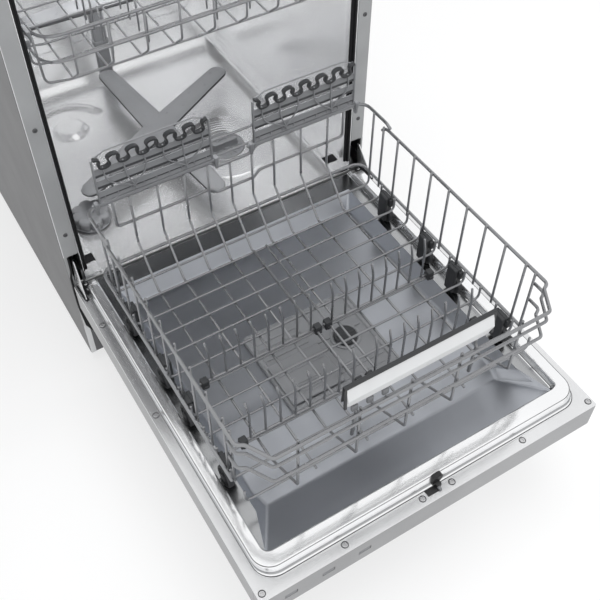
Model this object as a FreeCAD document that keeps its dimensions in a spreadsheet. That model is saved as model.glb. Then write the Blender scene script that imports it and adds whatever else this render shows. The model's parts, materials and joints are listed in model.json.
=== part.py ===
"""A 60 cm dishwasher with its door open and its lower rack pulled out over it, as separate pieces.

Millimetres, +X right, +Y to the back, +Z up. The origin is on the floor, under the middle of the
whole box, counted with the door open.
"""
import FreeCAD, Part
import math
import os
import re

# Driving dimensions
DIMS = {
    # cabinet
    "cabinet_width": 598,
    "cabinet_depth": 600,
    "cabinet_height": 848,
    "side_bay": 27,
    "back_bay": 55,
    "top_bay": 8,
    "door_inset": 1.5,
    "panel_thick": 1.2,
    "panel_lift": 29,
    "top_thick": 22,
    "top_hole_radius": 2.5,
    "top_hole_spacing": 500,
    "top_hole_back": 15,
    "foot_height": 34,
    "foot_pad_radius": 20,
    "foot_pad_height": 8,
    "foot_stem_radius": 6,
    "foot_inset": 55,
    "base_height": 95,
    "base_wall": 5,
    "base_recess": 46,
    "skirt_thick": 2,
    "skirt_gap": 6,
    "screw_radius": 4,
    "screw_height": 2,
    "frame_screw_start": 111,
    "frame_screw_pitch": 215,
    # door
    "door_reach": 650,
    "door_plane": 230,
    "door_thick": 55,
    "door_gap": 12,
    "door_skin": 1.2,
    "liner_thick": 1.5,
    "strip_depth": 20,
    "side_strip": 17,
    "free_strip": 28,
    "hinge_strip": 26,
    "bead_width": 21,
    "bead_front": 26,
    "bead_height": 14,
    "bead_corner": 30,
    "land_width": 20,
    "tray_depth": 30,
    "tray_slope": 62,
    "tray_corner": 12,
    "tray_hinge_gap": 12,
    "edge_corner": 2,
    "button_width": 20,
    "button_height": 9,
    "button_depth": 12,
    "button_pitch": 60,
    "button_start": -250,
    "button_gap": 0.3,
    "latch_width": 34,
    "latch_depth": 20,
    "latch_height": 9,
    "latch_start": 8,
    "screw_edge": 11,
    "latch_screw_x": 26,
    "wide_screw_x": 158,
    "near_screw_y": 334,
    "far_screw_y": 537,
    "dispenser_width": 200,
    "dispenser_depth": 170,
    "dispenser_height": 26,
    "dispenser_proud": 8,
    "lid_width": 96,
    "lid_depth": 84,
    "lid_thick": 5,
    "cap_radius": 20,
    "cap_height": 5,
    # door hinge
    "pin_radius": 4,
    "pin_back": 6,
    "pin_drop": 12,
    "arm_plate": 6,
    "arm_height": 20,
    "arm_reach": 120,
    "bracket_plate": 3,
    "bracket_depth": 46,
    "bracket_height": 62,
    "cover_width": 8,
    "cover_height": 196,
    "cover_thick": 3,
    "cover_top": 58,
    "slot_clear": 1,
    # tub
    "tub_floor_z": 196,
    "tub_wall": 1.5,
    "sill_drop": 8,
    "seal_width": 10,
    "seal_depth": 10,
    "track_drop": 2,
    "track_width": 31,
    "track_lip": 12,
    "rail_width": 16,
    "rail_height": 24,
    "rail_end_gap": 75,
    "slide_height": 13,
    "slide_reach": 5,
    "slide_clear": 0.4,
    "sump_radius": 82,
    "sump_depth": 74,
    "sump_wall": 6,
    "sump_x": 112,
    "sump_forward": 62,
    "filter_plate_radius": 95,
    "filter_plate_thick": 3,
    "filter_radius": 40,
    "filter_height": 62,
    "filter_knob": 12,
    "tank_width": 140,
    "tank_depth": 150,
    "tank_height": 74,
    "salt_side_gap": 72,
    "salt_back": 156,
    "salt_neck_radius": 30,
    "salt_cap_radius": 37,
    "salt_cap_height": 20,
    "salt_lobe_radius": 9,
    "post_radius": 12,
    "collar_radius": 20,
    "feed_width": 34,
    "feed_depth": 12,
    "pump_radius": 35,
    "pump_gap": 10,
    "drain_pump_radius": 27,
    "drain_pump_length": 66,
    "spigot_radius": 10,
    "spigot_length": 28,
    "inlet_radius": 13.2,
    "inlet_length": 16,
    "gland_radius": 15,
    "gland_bore_radius": 5,
    "gland_length": 24,
    "valve_width": 56,
    "valve_height": 50,
    "valve_depth": 22,
    # spray arms
    "arm_radius": 225,
    "arm_width": 40,
    "arm_thick": 13,
    "arm_hub_radius": 27,
    "arm_gap": 5,
    "arm_turn": 28,
    "arm_cross": 67,
    "middle_arm_radius": 215,
    "rack_side_gap": 21.5,
    "rack_end_gap": 44,
    # lower rack
    "rack_setback": 60,
    "rack_floor": 38,
    "rack_rim": 185,
    "rim_step": 21,
    "third_rim_drop": 58,
    "band_height": 13,
    "wire_radius": 2.2,
    "rim_radius": 2.8,
    "wire_bend": 10,
    "end_margin": 32,
    "side_margin": 35,
    "rim_bend": 42,
    "wire_gap": 0.1,
    "cross_wires": 12,
    "long_wires": 11,
    "wheel_radius": 18,
    "wheel_width": 9,
    "wheel_rim": 4,
    "wheel_dish": 2,
    "wheel_hub_wall": 3,
    "wheel_lift": 0.3,
    "axle_radius": 4,
    "axle_head_radius": 7,
    "run_clear": 0.05,
    "carrier_width": 22,
    "carrier_inset": 12.2,
    "carrier_thick": 7,
    "carrier_foot": 2,
    "carrier_lap": 10,
    "handle_length": 238,
    "handle_height": 38,
    "handle_thick": 7,
    "handle_corner": 5,
    "handle_lift": 18,
    "grip_height": 7,
    "grip_over": 2,
    "shelf_inner_x": 37.5,
    "shelf_width": 195,
    "shelf_height": 96,
    "shelf_thick": 5,
    "shelf_bar": 7,
    "shelf_rise": 14,
    "shelf_pin_radius": 3,
    "shelf_play": 0.5,
    "holder_wall": 3,
    "scallop_count": 5,
    "tine_height": 92,
    "tine_pitch": 25,
    "tine_count": 8,
    "tine_radius": 1.9,
    "tine_start": 22,
    "clip_width": 12,
    "clip_wall": 4,
    "bar_over": 1.5,
    # upper rack
    "upper_floor_z": 575,
    "upper_rim_z": 670,
    "upper_side_gap": 29,
    "upper_end_gap": 65,
    "upper_setback": 30,
    "upper_cross_wires": 9,
    "upper_long_wires": 8,
    "hanger_radius": 16,
    "hanger_length": 26,
    "hanger_flange_radius": 38,
}

# Places worked out from the driving dimensions
PLACES = {
    "front_y": "door_reach / 2 - cabinet_depth / 2",
    "free_y": "front_y - door_reach",
    "back_y": "front_y + cabinet_depth",
    "half_width": "cabinet_width / 2",
    "inner_half": "cabinet_width / 2 - panel_thick",
    "top_z": "cabinet_height - top_thick",
    "tub_width": "cabinet_width - 2 * side_bay",
    "tub_depth": "cabinet_depth - back_bay",
    "tub_top_z": "top_z - top_bay",
    "door_width": "cabinet_width - 2 * door_inset",
    "rack_width": "tub_width - 2 * rack_side_gap",
    "rack_depth": "tub_depth - rack_end_gap",
    "upper_width": "tub_width - 2 * upper_side_gap",
    "upper_depth": "tub_depth - upper_end_gap",
    "rail_length": "tub_depth - rail_end_gap",
    "base_top": "foot_height + base_height",
    "base_back": "back_y - base_recess",
    "base_front": "front_y + skirt_thick",
    "door_bottom": "door_plane - door_thick",
    "liner_under": "door_plane - liner_thick",
    "door_half": "door_width / 2",
    "door_end": "front_y - door_gap",
    "skirt_top": "door_bottom - skirt_gap",
    "sill_z": "door_plane - sill_drop",
    "pin_y": "front_y + pin_back",
    "pin_z": "door_plane - pin_drop",
    "half_tub": "tub_width / 2",
    "tub_front": "front_y + panel_thick",
    "tub_end": "tub_front + tub_depth",
    "tub_mid": "tub_front + tub_depth / 2",
    "hinge_x": "(half_tub + tub_wall + inner_half) / 2",
    "track_z": "door_plane - track_drop",
    "tray_floor": "door_plane - tray_depth",
    "wheel_z": "track_z + wheel_lift + wheel_radius",
    "rack_rear": "front_y - rack_setback",
    "rack_front": "rack_rear - rack_depth",
    "rack_floor_z": "door_plane + rack_floor",
    "rack_rim_z": "door_plane + rack_rim",
    "side_x": "rack_width / 2",
    "band_z": "rack_floor_z + band_height",
    "carrier_x": "side_x - carrier_inset",
    "wheel_x": "carrier_x + carrier_thick + slide_clear",
    "shelf_z": "rack_rim_z + shelf_rise",
    "shelf_y": "rack_rear + wire_radius + rim_radius",
    "sump_y": "tub_mid - sump_forward",
    "sump_z": "tub_floor_z - tub_wall - sump_depth",
    "salt_x": "half_tub - salt_side_gap",
    "salt_y": "front_y + salt_back",
    "pump_x": "pump_gap + tank_width / 2 - salt_x",
    "pump_length": "sump_x - sump_radius - wire_gap - pump_x",
    "arm_z": "rack_floor_z - 3 * wire_radius - arm_gap - arm_thick",
    "upper_front": "tub_front + upper_setback",
    "middle_arm_z": "upper_floor_z - 3 * wire_radius - hanger_length",
    "rail_z": "upper_rim_z - rail_height / 2",
    "rail_y": "tub_front + upper_setback",
    "port_z": "foot_height + base_height / 2",
    "inlet_x": "-half_width / 2",
    "drain_x": "half_width / 3",
    "gland_x": "half_width * 0.7",
}

V = FreeCAD.Vector
doc = FreeCAD.newDocument("dishwasher")
parts = []


def fill_sheet(name, cells, as_text):
    sheet = doc.addObject("Spreadsheet::Sheet", name)
    for row, (alias, value) in enumerate(cells.items(), 1):
        sheet.set(f"A{row}", alias)
        sheet.set(f"B{row}", as_text(value))
        sheet.setAlias(f"B{row}", alias)
    return sheet


def ref(text):
    """The text with each size's name written as the sheet cell that holds it."""

    def cell(match):
        word = match.group(0)
        if word in DIMS:
            return "Dims." + word
        if word in PLACES:
            return "Places." + word
        return word

    return re.sub(r"[a-z][a-z0-9_]*", cell, str(text))


dims = fill_sheet("Dims", DIMS, str)
places = fill_sheet("Places", PLACES, lambda text: "=" + ref(text))
doc.recompute()


def size(name):
    return float(dims.get(name) if name in DIMS else places.get(name))


# Shared builders for primitives, whose sizes and places are bound to the sheets
TURNS = {
    "z": FreeCAD.Rotation(),
    "x": FreeCAD.Rotation(V(0, 1, 0), 90),
    "y": FreeCAD.Rotation(V(1, 0, 0), -90),
}


def place(obj, at, axis="z"):
    obj.Placement = FreeCAD.Placement(V(0, 0, 0), TURNS[axis])
    for letter, text in zip("xyz", at):
        obj.setExpression("Placement.Base." + letter, ref(text))
    return obj


def box(name, lengths, at):
    obj = doc.addObject("Part::Box", name)
    for side, text in zip(("Length", "Width", "Height"), lengths):
        obj.setExpression(side, ref(text))
    return place(obj, at)


def rod(name, radius, length, at, axis="z"):
    obj = doc.addObject("Part::Cylinder", name)
    obj.setExpression("Radius", ref(radius))
    obj.setExpression("Height", ref(length))
    return place(obj, at, axis)


def fuse(name, *pieces):
    obj = doc.addObject("Part::MultiFuse", name)
    obj.Shapes = list(pieces)
    return obj


def group(name, *pieces):
    obj = doc.addObject("Part::Compound", name)
    obj.Links = list(pieces)
    return obj


def cut(name, base, *tools):
    obj = doc.addObject("Part::Cut", name)
    obj.Base = base
    obj.Tool = tools[0] if len(tools) == 1 else fuse(name + "_tools", *tools)
    return obj


def formed(name, shape):
    obj = doc.addObject("Part::Feature", name)
    obj.Shape = shape
    return obj


def keep(label, obj):
    obj.Label = label
    parts.append(obj)
    return obj


def both_sides(name, make):
    """make(name, side) for the left side, -1, and the right side, +1."""
    return [make(name + "_left", -1), make(name + "_right", 1)]


def side_box(name, side, inner_x, lengths, y, z):
    """A box whose inner face is inner_x from the middle plane, on the left or the right."""
    x = f"{inner_x}" if side > 0 else f"-({inner_x}) - ({lengths[0]})"
    return box(name, lengths, (x, y, z))


def side_rod(name, side, inner_x, radius, length, y, z):
    x = f"{inner_x}" if side > 0 else f"-({inner_x}) - ({length})"
    return rod(name, radius, length, (x, y, z), "x")


# Shared builders for bent wire and rounded sheet
def bent_wire(points, radius, bend, closed=False):
    """Round wire along points, as straight rods and elbows that meet face to face."""
    count = len(points)
    starts = list(points)
    ends = list(points)
    solids = []
    corners = range(count) if closed else range(1, count - 1)
    for i in corners:
        here = points[i]
        come = (here - points[i - 1]).normalize()
        leave = (points[(i + 1) % count] - here).normalize()
        turn = come.getAngle(leave)
        trim = bend * math.tan(turn / 2)
        ends[i] = here - come * trim
        starts[i] = here + leave * trim
        axis = come.cross(leave).normalize()
        middle = ends[i] + axis.cross(come) * bend
        disc = Part.Face(Part.Wire([Part.makeCircle(radius, ends[i], come)]))
        solids.append(disc.revolve(middle, axis, math.degrees(turn)))
    for i in range(count if closed else count - 1):
        start = starts[i]
        run = ends[(i + 1) % count] - start
        solids.append(Part.makeCylinder(radius, run.Length, start, run))
    return solids


def rounded_face(x0, x1, y0, y1, z, corner):
    """A flat face with rounded corners."""
    low_x, high_x = x0 + corner, x1 - corner
    low_y, high_y = y0 + corner, y1 - corner
    spread = corner * math.sqrt(0.5)
    edges = [
        Part.makeLine(V(low_x, y0, z), V(high_x, y0, z)),
        Part.Arc(V(high_x, y0, z), V(high_x + spread, low_y - spread, z), V(x1, low_y, z)).toShape(),
        Part.makeLine(V(x1, low_y, z), V(x1, high_y, z)),
        Part.Arc(V(x1, high_y, z), V(high_x + spread, high_y + spread, z), V(high_x, y1, z)).toShape(),
        Part.makeLine(V(high_x, y1, z), V(low_x, y1, z)),
        Part.Arc(V(low_x, y1, z), V(low_x - spread, high_y + spread, z), V(x0, high_y, z)).toShape(),
        Part.makeLine(V(x0, high_y, z), V(x0, low_y, z)),
        Part.Arc(V(x0, low_y, z), V(low_x - spread, low_y - spread, z), V(low_x, y0, z)).toShape(),
    ]
    return Part.Face(Part.Wire(edges))


def spread_evenly(low, high, count):
    return [low + (high - low) * i / (count - 1) for i in range(count)]


# Cabinet
def make_cabinet():
    long = "base_back - base_front"
    floor = box(
        "base_floor", ("2 * inner_half", long, "base_wall"), ("-inner_half", "base_front", "foot_height"),
    )
    wall_z = "foot_height + base_wall"
    wall_high = "base_height - base_wall"
    sides = both_sides("base_side", lambda name, side: side_box(
        name, side, "inner_half - base_wall", ("base_wall", long, wall_high), "base_front", wall_z,
    ))
    across = ("2 * inner_half - 2 * base_wall", "base_wall", wall_high)
    front = box("base_front_wall", across, ("base_wall - inner_half", "base_front", wall_z))
    rear = box("base_rear_wall", across, ("base_wall - inner_half", "base_back - base_wall", wall_z))
    lead_hole = rod(
        "base_lead_hole", "gland_bore_radius", "3 * base_wall",
        ("gland_x", "base_back - 2 * base_wall", "port_z"), "y",
    )
    rear = cut("base_rear_bored", rear, lead_hole)
    keep("base_tray", group("base_tray", floor, *sides, front, rear))
    feet = []
    for side in ("foot_inset - inner_half", "inner_half - foot_inset"):
        for y in ("base_front + foot_inset", "base_back - foot_inset"):
            pad = rod("foot_pad", "foot_pad_radius", "foot_pad_height", (side, y, 0))
            stem = rod("foot_stem", "foot_stem_radius", "foot_height", (side, y, 0))
            feet.append(fuse("foot", pad, stem))
    keep("levelling_feet", group("levelling_feet", *feet))
    for label, side in (("left_side_panel", -1), ("right_side_panel", 1)):
        lengths = ("panel_thick", "cabinet_depth - panel_thick", "top_z - panel_lift")
        keep(label, side_box(label, side, "inner_half", lengths, "front_y", "panel_lift"))
    keep("rear_panel", box(
        "rear_panel",
        ("cabinet_width", "panel_thick", "top_z - base_top"),
        ("-half_width", "back_y - panel_thick", "base_top"),
    ))
    board = box(
        "top_board", ("cabinet_width", "cabinet_depth", "top_thick"), ("-half_width", "front_y", "top_z")
    )
    top_holes = [
        rod(
            "top_hole", "top_hole_radius", "3 * top_thick",
            (x, "front_y + top_hole_back", "top_z - top_thick"),
        )
        for x in ("-top_hole_spacing / 2", "top_hole_spacing / 2")
    ]
    keep("top_panel", cut("top_panel", board, *top_holes))
    keep("front_skirt", box(
        "front_skirt",
        ("2 * inner_half", "skirt_thick", "skirt_top - panel_lift"),
        ("-inner_half", "front_y", "panel_lift"),
    ))
    plate = box(
        "frame_plate",
        ("2 * inner_half", "panel_thick", "top_z - skirt_top"),
        ("-inner_half", "front_y", "skirt_top"),
    )
    opening = box(
        "frame_opening",
        ("tub_width", "3 * panel_thick", "tub_top_z - sill_z"),
        ("-half_tub", "front_y - panel_thick", "sill_z"),
    )
    slots = both_sides("hinge_slot", lambda name, side: side_box(
        name, side, "hinge_x - arm_plate / 2 - slot_clear",
        ("arm_plate + 2 * slot_clear", "3 * panel_thick", "2 * arm_height"),
        "front_y - panel_thick", "pin_z - arm_height",
    ))
    keep("front_frame", cut("front_frame", plate, opening, *slots))
    screws = []
    for side in (-1, 1):
        for step in range(3):
            x = f"{side} * (half_tub + inner_half) / 2"
            at = (x, "front_y - screw_height", f"door_plane + frame_screw_start + {step} * frame_screw_pitch")
            screws.append(rod("frame_screw", "screw_radius", "screw_height", at, "y"))
    keep("frame_screws", group("frame_screws", *screws))


def make_seal():
    low = "track_z + track_lip"
    outer = box(
        "seal_outer",
        ("tub_width", "seal_depth", f"tub_top_z - ({low})"),
        ("-half_tub", "tub_front + tub_wall", low),
    )
    inner = box(
        "seal_inner",
        ("tub_width - 2 * seal_width", "3 * seal_depth", f"tub_top_z - seal_width - ({low}) + seal_depth"),
        ("seal_width - half_tub", "tub_front - seal_depth", f"{low} - seal_depth"),
    )
    keep("door_seal", cut("door_seal", outer, inner))
    covers = both_sides("hinge_cover", lambda name, side: side_box(
        name, side, "inner_half - cover_width", ("cover_width", "cover_thick", "cover_height"),
        "front_y - cover_thick", "door_plane + cover_top - cover_height",
    ))
    keep("hinge_covers", group("hinge_covers", *covers))


def make_hinges():
    gap = "(inner_half - half_tub - tub_wall)"

    def bracket(name, side):
        plate = ("bracket_plate", "bracket_depth", "bracket_height")
        foot = "pin_z - bracket_height / 2"
        near = side_box(name + "_near", side, "half_tub + tub_wall", plate, "tub_front", foot)
        far = side_box(name + "_far", side, "inner_half - bracket_plate", plate, "tub_front", foot)
        web = side_box(
            name + "_web", side, "half_tub + tub_wall", (gap, "bracket_plate", "bracket_height"),
            "tub_front + bracket_depth", foot,
        )
        hole = side_rod(name + "_hole", side, "half_tub", "pin_radius", "2 * " + gap, "pin_y", "pin_z")
        return cut(name, fuse(name + "_plates", near, far, web), hole)

    keep("hinge_brackets", group("hinge_brackets", *both_sides("hinge_bracket", bracket)))
    keep("hinge_pins", group("hinge_pins", *both_sides("hinge_pin", lambda name, side: side_rod(
        name, side, "half_tub + tub_wall", "pin_radius", gap, "pin_y", "pin_z"
    ))))

    def arm(name, side):
        plate = side_box(
            name + "_plate", side, "hinge_x - arm_plate / 2",
            ("arm_plate", "arm_reach + 2 * pin_radius", "arm_height"),
            "pin_y - arm_reach", "pin_z - arm_height / 2",
        )
        hole = side_rod(name + "_hole", side, "half_tub", "pin_radius + run_clear", gap, "pin_y", "pin_z")
        return cut(name, plate, hole)

    keep("hinge_arms", group("hinge_arms", *both_sides("hinge_arm", arm)))


# Tub and what stands in it
def make_tub():
    outer = box(
        "wrapper_outer",
        ("tub_width + 2 * tub_wall", "tub_depth", "tub_top_z + tub_wall - tub_floor_z"),
        ("-half_tub - tub_wall", "tub_front", "tub_floor_z"),
    )
    inner = box(
        "wrapper_inner",
        ("tub_width", "3 * tub_depth", "tub_top_z"),
        ("-half_tub", "tub_front - tub_depth", 0),
    )
    keep("tub_wrapper", cut("tub_wrapper", outer, inner))
    keep("tub_back", box(
        "tub_back",
        ("tub_width + 2 * tub_wall", "tub_wall", "tub_top_z + tub_wall - tub_floor_z"),
        ("-half_tub - tub_wall", "tub_end", "tub_floor_z"),
    ))
    plate = box(
        "floor_plate",
        ("tub_width + 2 * tub_wall", "tub_depth + tub_wall", "tub_wall"),
        ("-half_tub - tub_wall", "tub_front", "tub_floor_z - tub_wall"),
    )
    lip = box(
        "floor_lip",
        ("tub_width", "tub_wall", "sill_z - tub_floor_z"),
        ("-half_tub", "tub_front", "tub_floor_z"),
    )
    under = "tub_floor_z - 2 * tub_wall"
    sump_hole = rod("sump_hole", "sump_radius - sump_wall", "4 * tub_wall", ("sump_x", "sump_y", under))
    salt_hole = rod("salt_hole", "salt_neck_radius", "4 * tub_wall", ("-salt_x", "salt_y", under))
    keep("tub_floor", cut("tub_floor", fuse("floor_and_lip", plate, lip), sump_hole, salt_hole))

    def track(name, side):
        length = "tub_depth - 2 * tub_wall"
        top = side_box(
            name + "_top", side, "half_tub - track_width", ("track_width", length, "tub_wall"),
            "tub_front + tub_wall", "track_z - tub_wall",
        )
        drop = side_box(
            name + "_drop", side, "half_tub - track_width", ("tub_wall", length, "track_lip"),
            "tub_front + tub_wall", "track_z - track_lip",
        )
        return fuse(name, top, drop)

    keep("lower_tracks", group("lower_tracks", *both_sides("lower_track", track)))

    def rail(name, side):
        body = side_box(
            name + "_body", side, "half_tub - rail_width", ("rail_width", "rail_length", "rail_height"),
            "rail_y", "rail_z",
        )
        groove = side_box(
            name + "_groove", side, "half_tub - rail_width - slot_clear",
            ("slide_reach + slot_clear", "3 * rail_length", "slide_height"),
            "rail_y - rail_length", "upper_rim_z - slide_height / 2",
        )
        return cut(name, body, groove)

    keep("upper_rails", group("upper_rails", *both_sides("upper_rail", rail)))


def make_water_parts():
    cup = rod("sump_cup", "sump_radius", "sump_depth", ("sump_x", "sump_y", "sump_z"))
    well = rod(
        "sump_well", "sump_radius - sump_wall", "sump_depth", ("sump_x", "sump_y", "sump_z + sump_wall"),
    )
    keep("sump", cut("sump", cup, well))
    disc = rod(
        "filter_disc", "filter_plate_radius", "filter_plate_thick", ("sump_x", "sump_y", "tub_floor_z"),
    )
    hole = rod(
        "filter_hole", "filter_radius + slide_clear", "3 * filter_plate_thick",
        ("sump_x", "sump_y", "tub_floor_z - filter_plate_thick"),
    )
    keep("filter_plate", cut("filter_plate", disc, hole))
    mesh = rod(
        "filter_mesh", "filter_radius", "filter_height",
        ("sump_x", "sump_y", "tub_floor_z + filter_plate_thick - filter_height"),
    )
    bore = rod(
        "filter_bore", "filter_radius - sump_wall / 2", "filter_height",
        ("sump_x", "sump_y", "tub_floor_z + filter_plate_thick - filter_height - sump_wall / 2"),
    )
    knob = box(
        "filter_knob", ("1.4 * filter_radius", "filter_knob", "filter_knob"),
        ("sump_x - 0.7 * filter_radius", "sump_y - filter_knob / 2", "tub_floor_z + filter_plate_thick"),
    )
    keep("filter_cylinder", fuse("filter_cylinder", cut("filter_sleeve", mesh, bore), knob))
    tank = box(
        "tank_box", ("tank_width", "tank_depth", "tank_height"),
        ("-salt_x - tank_width / 2", "salt_y - tank_depth / 2", "tub_floor_z - tub_wall - tank_height"),
    )
    neck = rod(
        "tank_neck", "salt_neck_radius", "tub_wall + filter_plate_thick",
        ("-salt_x", "salt_y", "tub_floor_z - tub_wall"),
    )
    keep("softener_tank", fuse("softener_tank", tank, neck))
    keep("salt_cap", formed("salt_cap", lobed_cap()))
    foot = (0, "tub_mid", "tub_floor_z")
    collar = rod("post_collar", "collar_radius", "arm_z - wheel_lift - tub_floor_z", foot)
    post = rod("post", "post_radius", "arm_z + arm_thick - tub_floor_z", foot)
    riser = box(
        "riser", ("feed_width", "feed_depth", "upper_floor_z - tub_floor_z"),
        ("-feed_width / 2", "tub_end - feed_depth", "tub_floor_z"),
    )
    keep("water_feed", group("water_feed", fuse("arm_post", collar, post), riser))
    keep("circulation_pump", rod(
        "circulation_pump", "pump_radius", "pump_length", ("pump_x", "sump_y", "sump_z + pump_radius"), "x",
    ))
    keep("drain_pump", rod(
        "drain_pump", "drain_pump_radius", "drain_pump_length",
        ("sump_x + sump_radius + wire_gap", "sump_y", "sump_z + drain_pump_radius"), "x",
    ))
    valve = box(
        "valve_body", ("valve_width", "valve_depth", "valve_height"),
        ("inlet_x - valve_width / 2", "base_back", "port_z - valve_height / 2"),
    )
    thread = rod(
        "inlet_thread", "inlet_radius", "inlet_length", ("inlet_x", "base_back + valve_depth", "port_z"), "y"
    )
    keep("water_inlet", fuse("water_inlet", valve, thread))
    flange = rod("drain_flange", "2 * spigot_radius", "base_wall", ("drain_x", "base_back", "port_z"), "y")
    spigot = rod(
        "drain_spigot", "spigot_radius", "spigot_length", ("drain_x", "base_back + base_wall", "port_z"), "y"
    )
    keep("drain_outlet", fuse("drain_outlet", flange, spigot))
    bush = rod("gland_bush", "gland_radius", "gland_length", ("gland_x", "base_back", "port_z"), "y")
    lead_bore = rod(
        "gland_bore", "gland_bore_radius", "3 * gland_length",
        ("gland_x", "base_back - gland_length", "port_z"), "y",
    )
    keep("cord_gland", cut("cord_gland", bush, lead_bore))


def lobed_cap():
    """The salt cap: a disc with grip lobes round its edge and a bar across its top."""
    foot = V(-size("salt_x"), size("salt_y"), size("tub_floor_z") + size("filter_plate_thick"))
    high = size("salt_cap_height")
    lobe = size("salt_lobe_radius")
    ring = size("salt_cap_radius") - lobe
    cap = Part.makeCylinder(ring, high, foot)
    lobes = []
    for step in range(8):
        turn = 2 * math.pi * step / 8
        lobes.append(Part.makeCylinder(lobe, high, foot + V(ring * math.cos(turn), ring * math.sin(turn), 0)))
    return cap.fuse(lobes).removeSplitter()


def spray_arm(middle, z, radius, hub_height, bore, turns):
    """Hollow-looking blades through one hub, each bar turned by an angle in degrees."""
    wide = size("arm_width")
    thick = size("arm_thick")
    hub = Part.makeCylinder(size("arm_hub_radius"), hub_height, V(middle.x, middle.y, z))
    bars = []
    for turn in turns:
        bar = rounded_face(-radius, radius, -wide / 2, wide / 2, 0, 0.48 * wide).extrude(V(0, 0, thick))
        bar.rotate(V(0, 0, 0), V(0, 0, 1), turn)
        bar.translate(V(middle.x, middle.y, z))
        bars.append(bar)
    hole = Part.makeCylinder(bore, 3 * hub_height, V(middle.x, middle.y, z - hub_height))
    return hub.fuse(bars).cut(hole).removeSplitter()


def make_lower_arm():
    turns = (size("arm_turn"), size("arm_turn") + size("arm_cross"))
    bore = size("post_radius") + size("run_clear")
    middle = V(0, size("tub_mid"), 0)
    shape = spray_arm(middle, size("arm_z"), size("arm_radius"), size("arm_thick"), bore, turns)
    keep("lower_spray_arm", formed("lower_spray_arm", shape))


# Door
def make_door():
    shell_height = "liner_under - door_bottom"
    shell = box(
        "panel_shell", ("door_width", "door_end - free_y - strip_depth", shell_height),
        ("-door_half", "free_y + strip_depth", "door_bottom"),
    )
    hollow = box(
        "panel_hollow", ("door_width - 2 * door_skin", "2 * door_reach", "door_thick"),
        ("door_skin - door_half", "free_y + strip_depth + door_skin", "door_bottom + door_skin"),
    )
    keep("door_outer_panel", cut("door_outer_panel", shell, hollow))
    strip = box(
        "strip_shell", ("door_width", "strip_depth", shell_height), ("-door_half", "free_y", "door_bottom")
    )
    inside = box(
        "strip_hollow",
        ("door_width - 4 * door_skin", "strip_depth - 4 * door_skin", "door_thick"),
        ("2 * door_skin - door_half", "free_y + 2 * door_skin", "door_bottom + 2 * door_skin"),
    )
    holes = []
    button_z = "(door_bottom + liner_under) / 2 - button_height / 2"
    for i, label in enumerate(("power_button", "program_button", "start_button")):
        x = f"button_start + {i} * button_pitch - button_width / 2"
        holes.append(box(
            "button_hole", ("button_width", "strip_depth / 2", "button_height"),
            (x, "free_y - strip_depth / 4", button_z),
        ))
        keep(label, box(
            label,
            ("button_width - 2 * button_gap", "button_depth", "button_height - 2 * button_gap"),
            (f"{x} + button_gap", "free_y", f"{button_z} + button_gap"),
        ))
    keep("control_strip", cut("control_strip", strip, inside, *holes))
    keep("door_liner", formed("door_liner", liner_shape()))
    screws = []
    spots = [(f"{side} * {x}", "screw_edge") for side in (-1, 1) for x in ("latch_screw_x", "wide_screw_x")]
    rim_x = "(door_half - side_strip / 2)"
    for side in (-1, 1):
        spots += [(f"{side} * {rim_x}", y) for y in ("screw_edge", "near_screw_y", "far_screw_y")]
    for x, y in spots:
        screws.append(rod("liner_screw", "screw_radius", "screw_height", (x, f"free_y + {y}", "door_plane")))
    keep("liner_screws", group("liner_screws", *screws))
    plate = box(
        "latch_plate", ("latch_width", "latch_depth", "latch_height / 3"),
        ("-latch_width / 2", "free_y + latch_start", "door_plane"),
    )
    hook = box(
        "latch_hook", ("latch_width / 3", "latch_depth / 2", "latch_height"),
        ("-latch_width / 6", "free_y + latch_start + latch_depth / 4", "door_plane"),
    )
    keep("door_latch", fuse("door_latch", plate, hook))
    well_y = "free_y + door_reach / 2 - dispenser_depth / 2"
    body = box(
        "dispenser_block", ("dispenser_width", "dispenser_depth", "dispenser_height"),
        ("-dispenser_width / 2", well_y, "tray_floor + dispenser_proud - dispenser_height"),
    )
    cup = box(
        "dispenser_cup",
        ("lid_width - 4 * lid_thick", "lid_depth - 4 * lid_thick", "dispenser_height"),
        (
            "2 * lid_thick - dispenser_width / 2 + lid_thick", f"{well_y} + 4 * lid_thick",
            "tray_floor + dispenser_proud + lid_thick - dispenser_height",
        ),
    )
    cap_y = f"{well_y} + dispenser_depth / 2"
    cap_bore = rod(
        "dispenser_cap_bore", "cap_radius - lid_thick", "cap_height",
        ("dispenser_width / 4", cap_y, "tray_floor + dispenser_proud - cap_height"),
    )
    keep("dispenser_body", cut("dispenser_body", body, cup, cap_bore))
    lid_z = "tray_floor + dispenser_proud + wheel_lift"
    keep("dispenser_lid", box(
        "dispenser_lid", ("lid_width", "lid_depth", "lid_thick"),
        ("lid_thick - dispenser_width / 2", f"{well_y} + 2 * lid_thick", lid_z),
    ))
    cap = rod("rinse_cap", "cap_radius", "cap_height", ("dispenser_width / 4", cap_y, lid_z))
    plug = rod(
        "rinse_plug", "cap_radius - lid_thick - run_clear", "cap_height",
        ("dispenser_width / 4", cap_y, lid_z + " - cap_height"),
    )
    keep("rinse_aid_cap", fuse("rinse_aid_cap", cap, plug))


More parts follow.
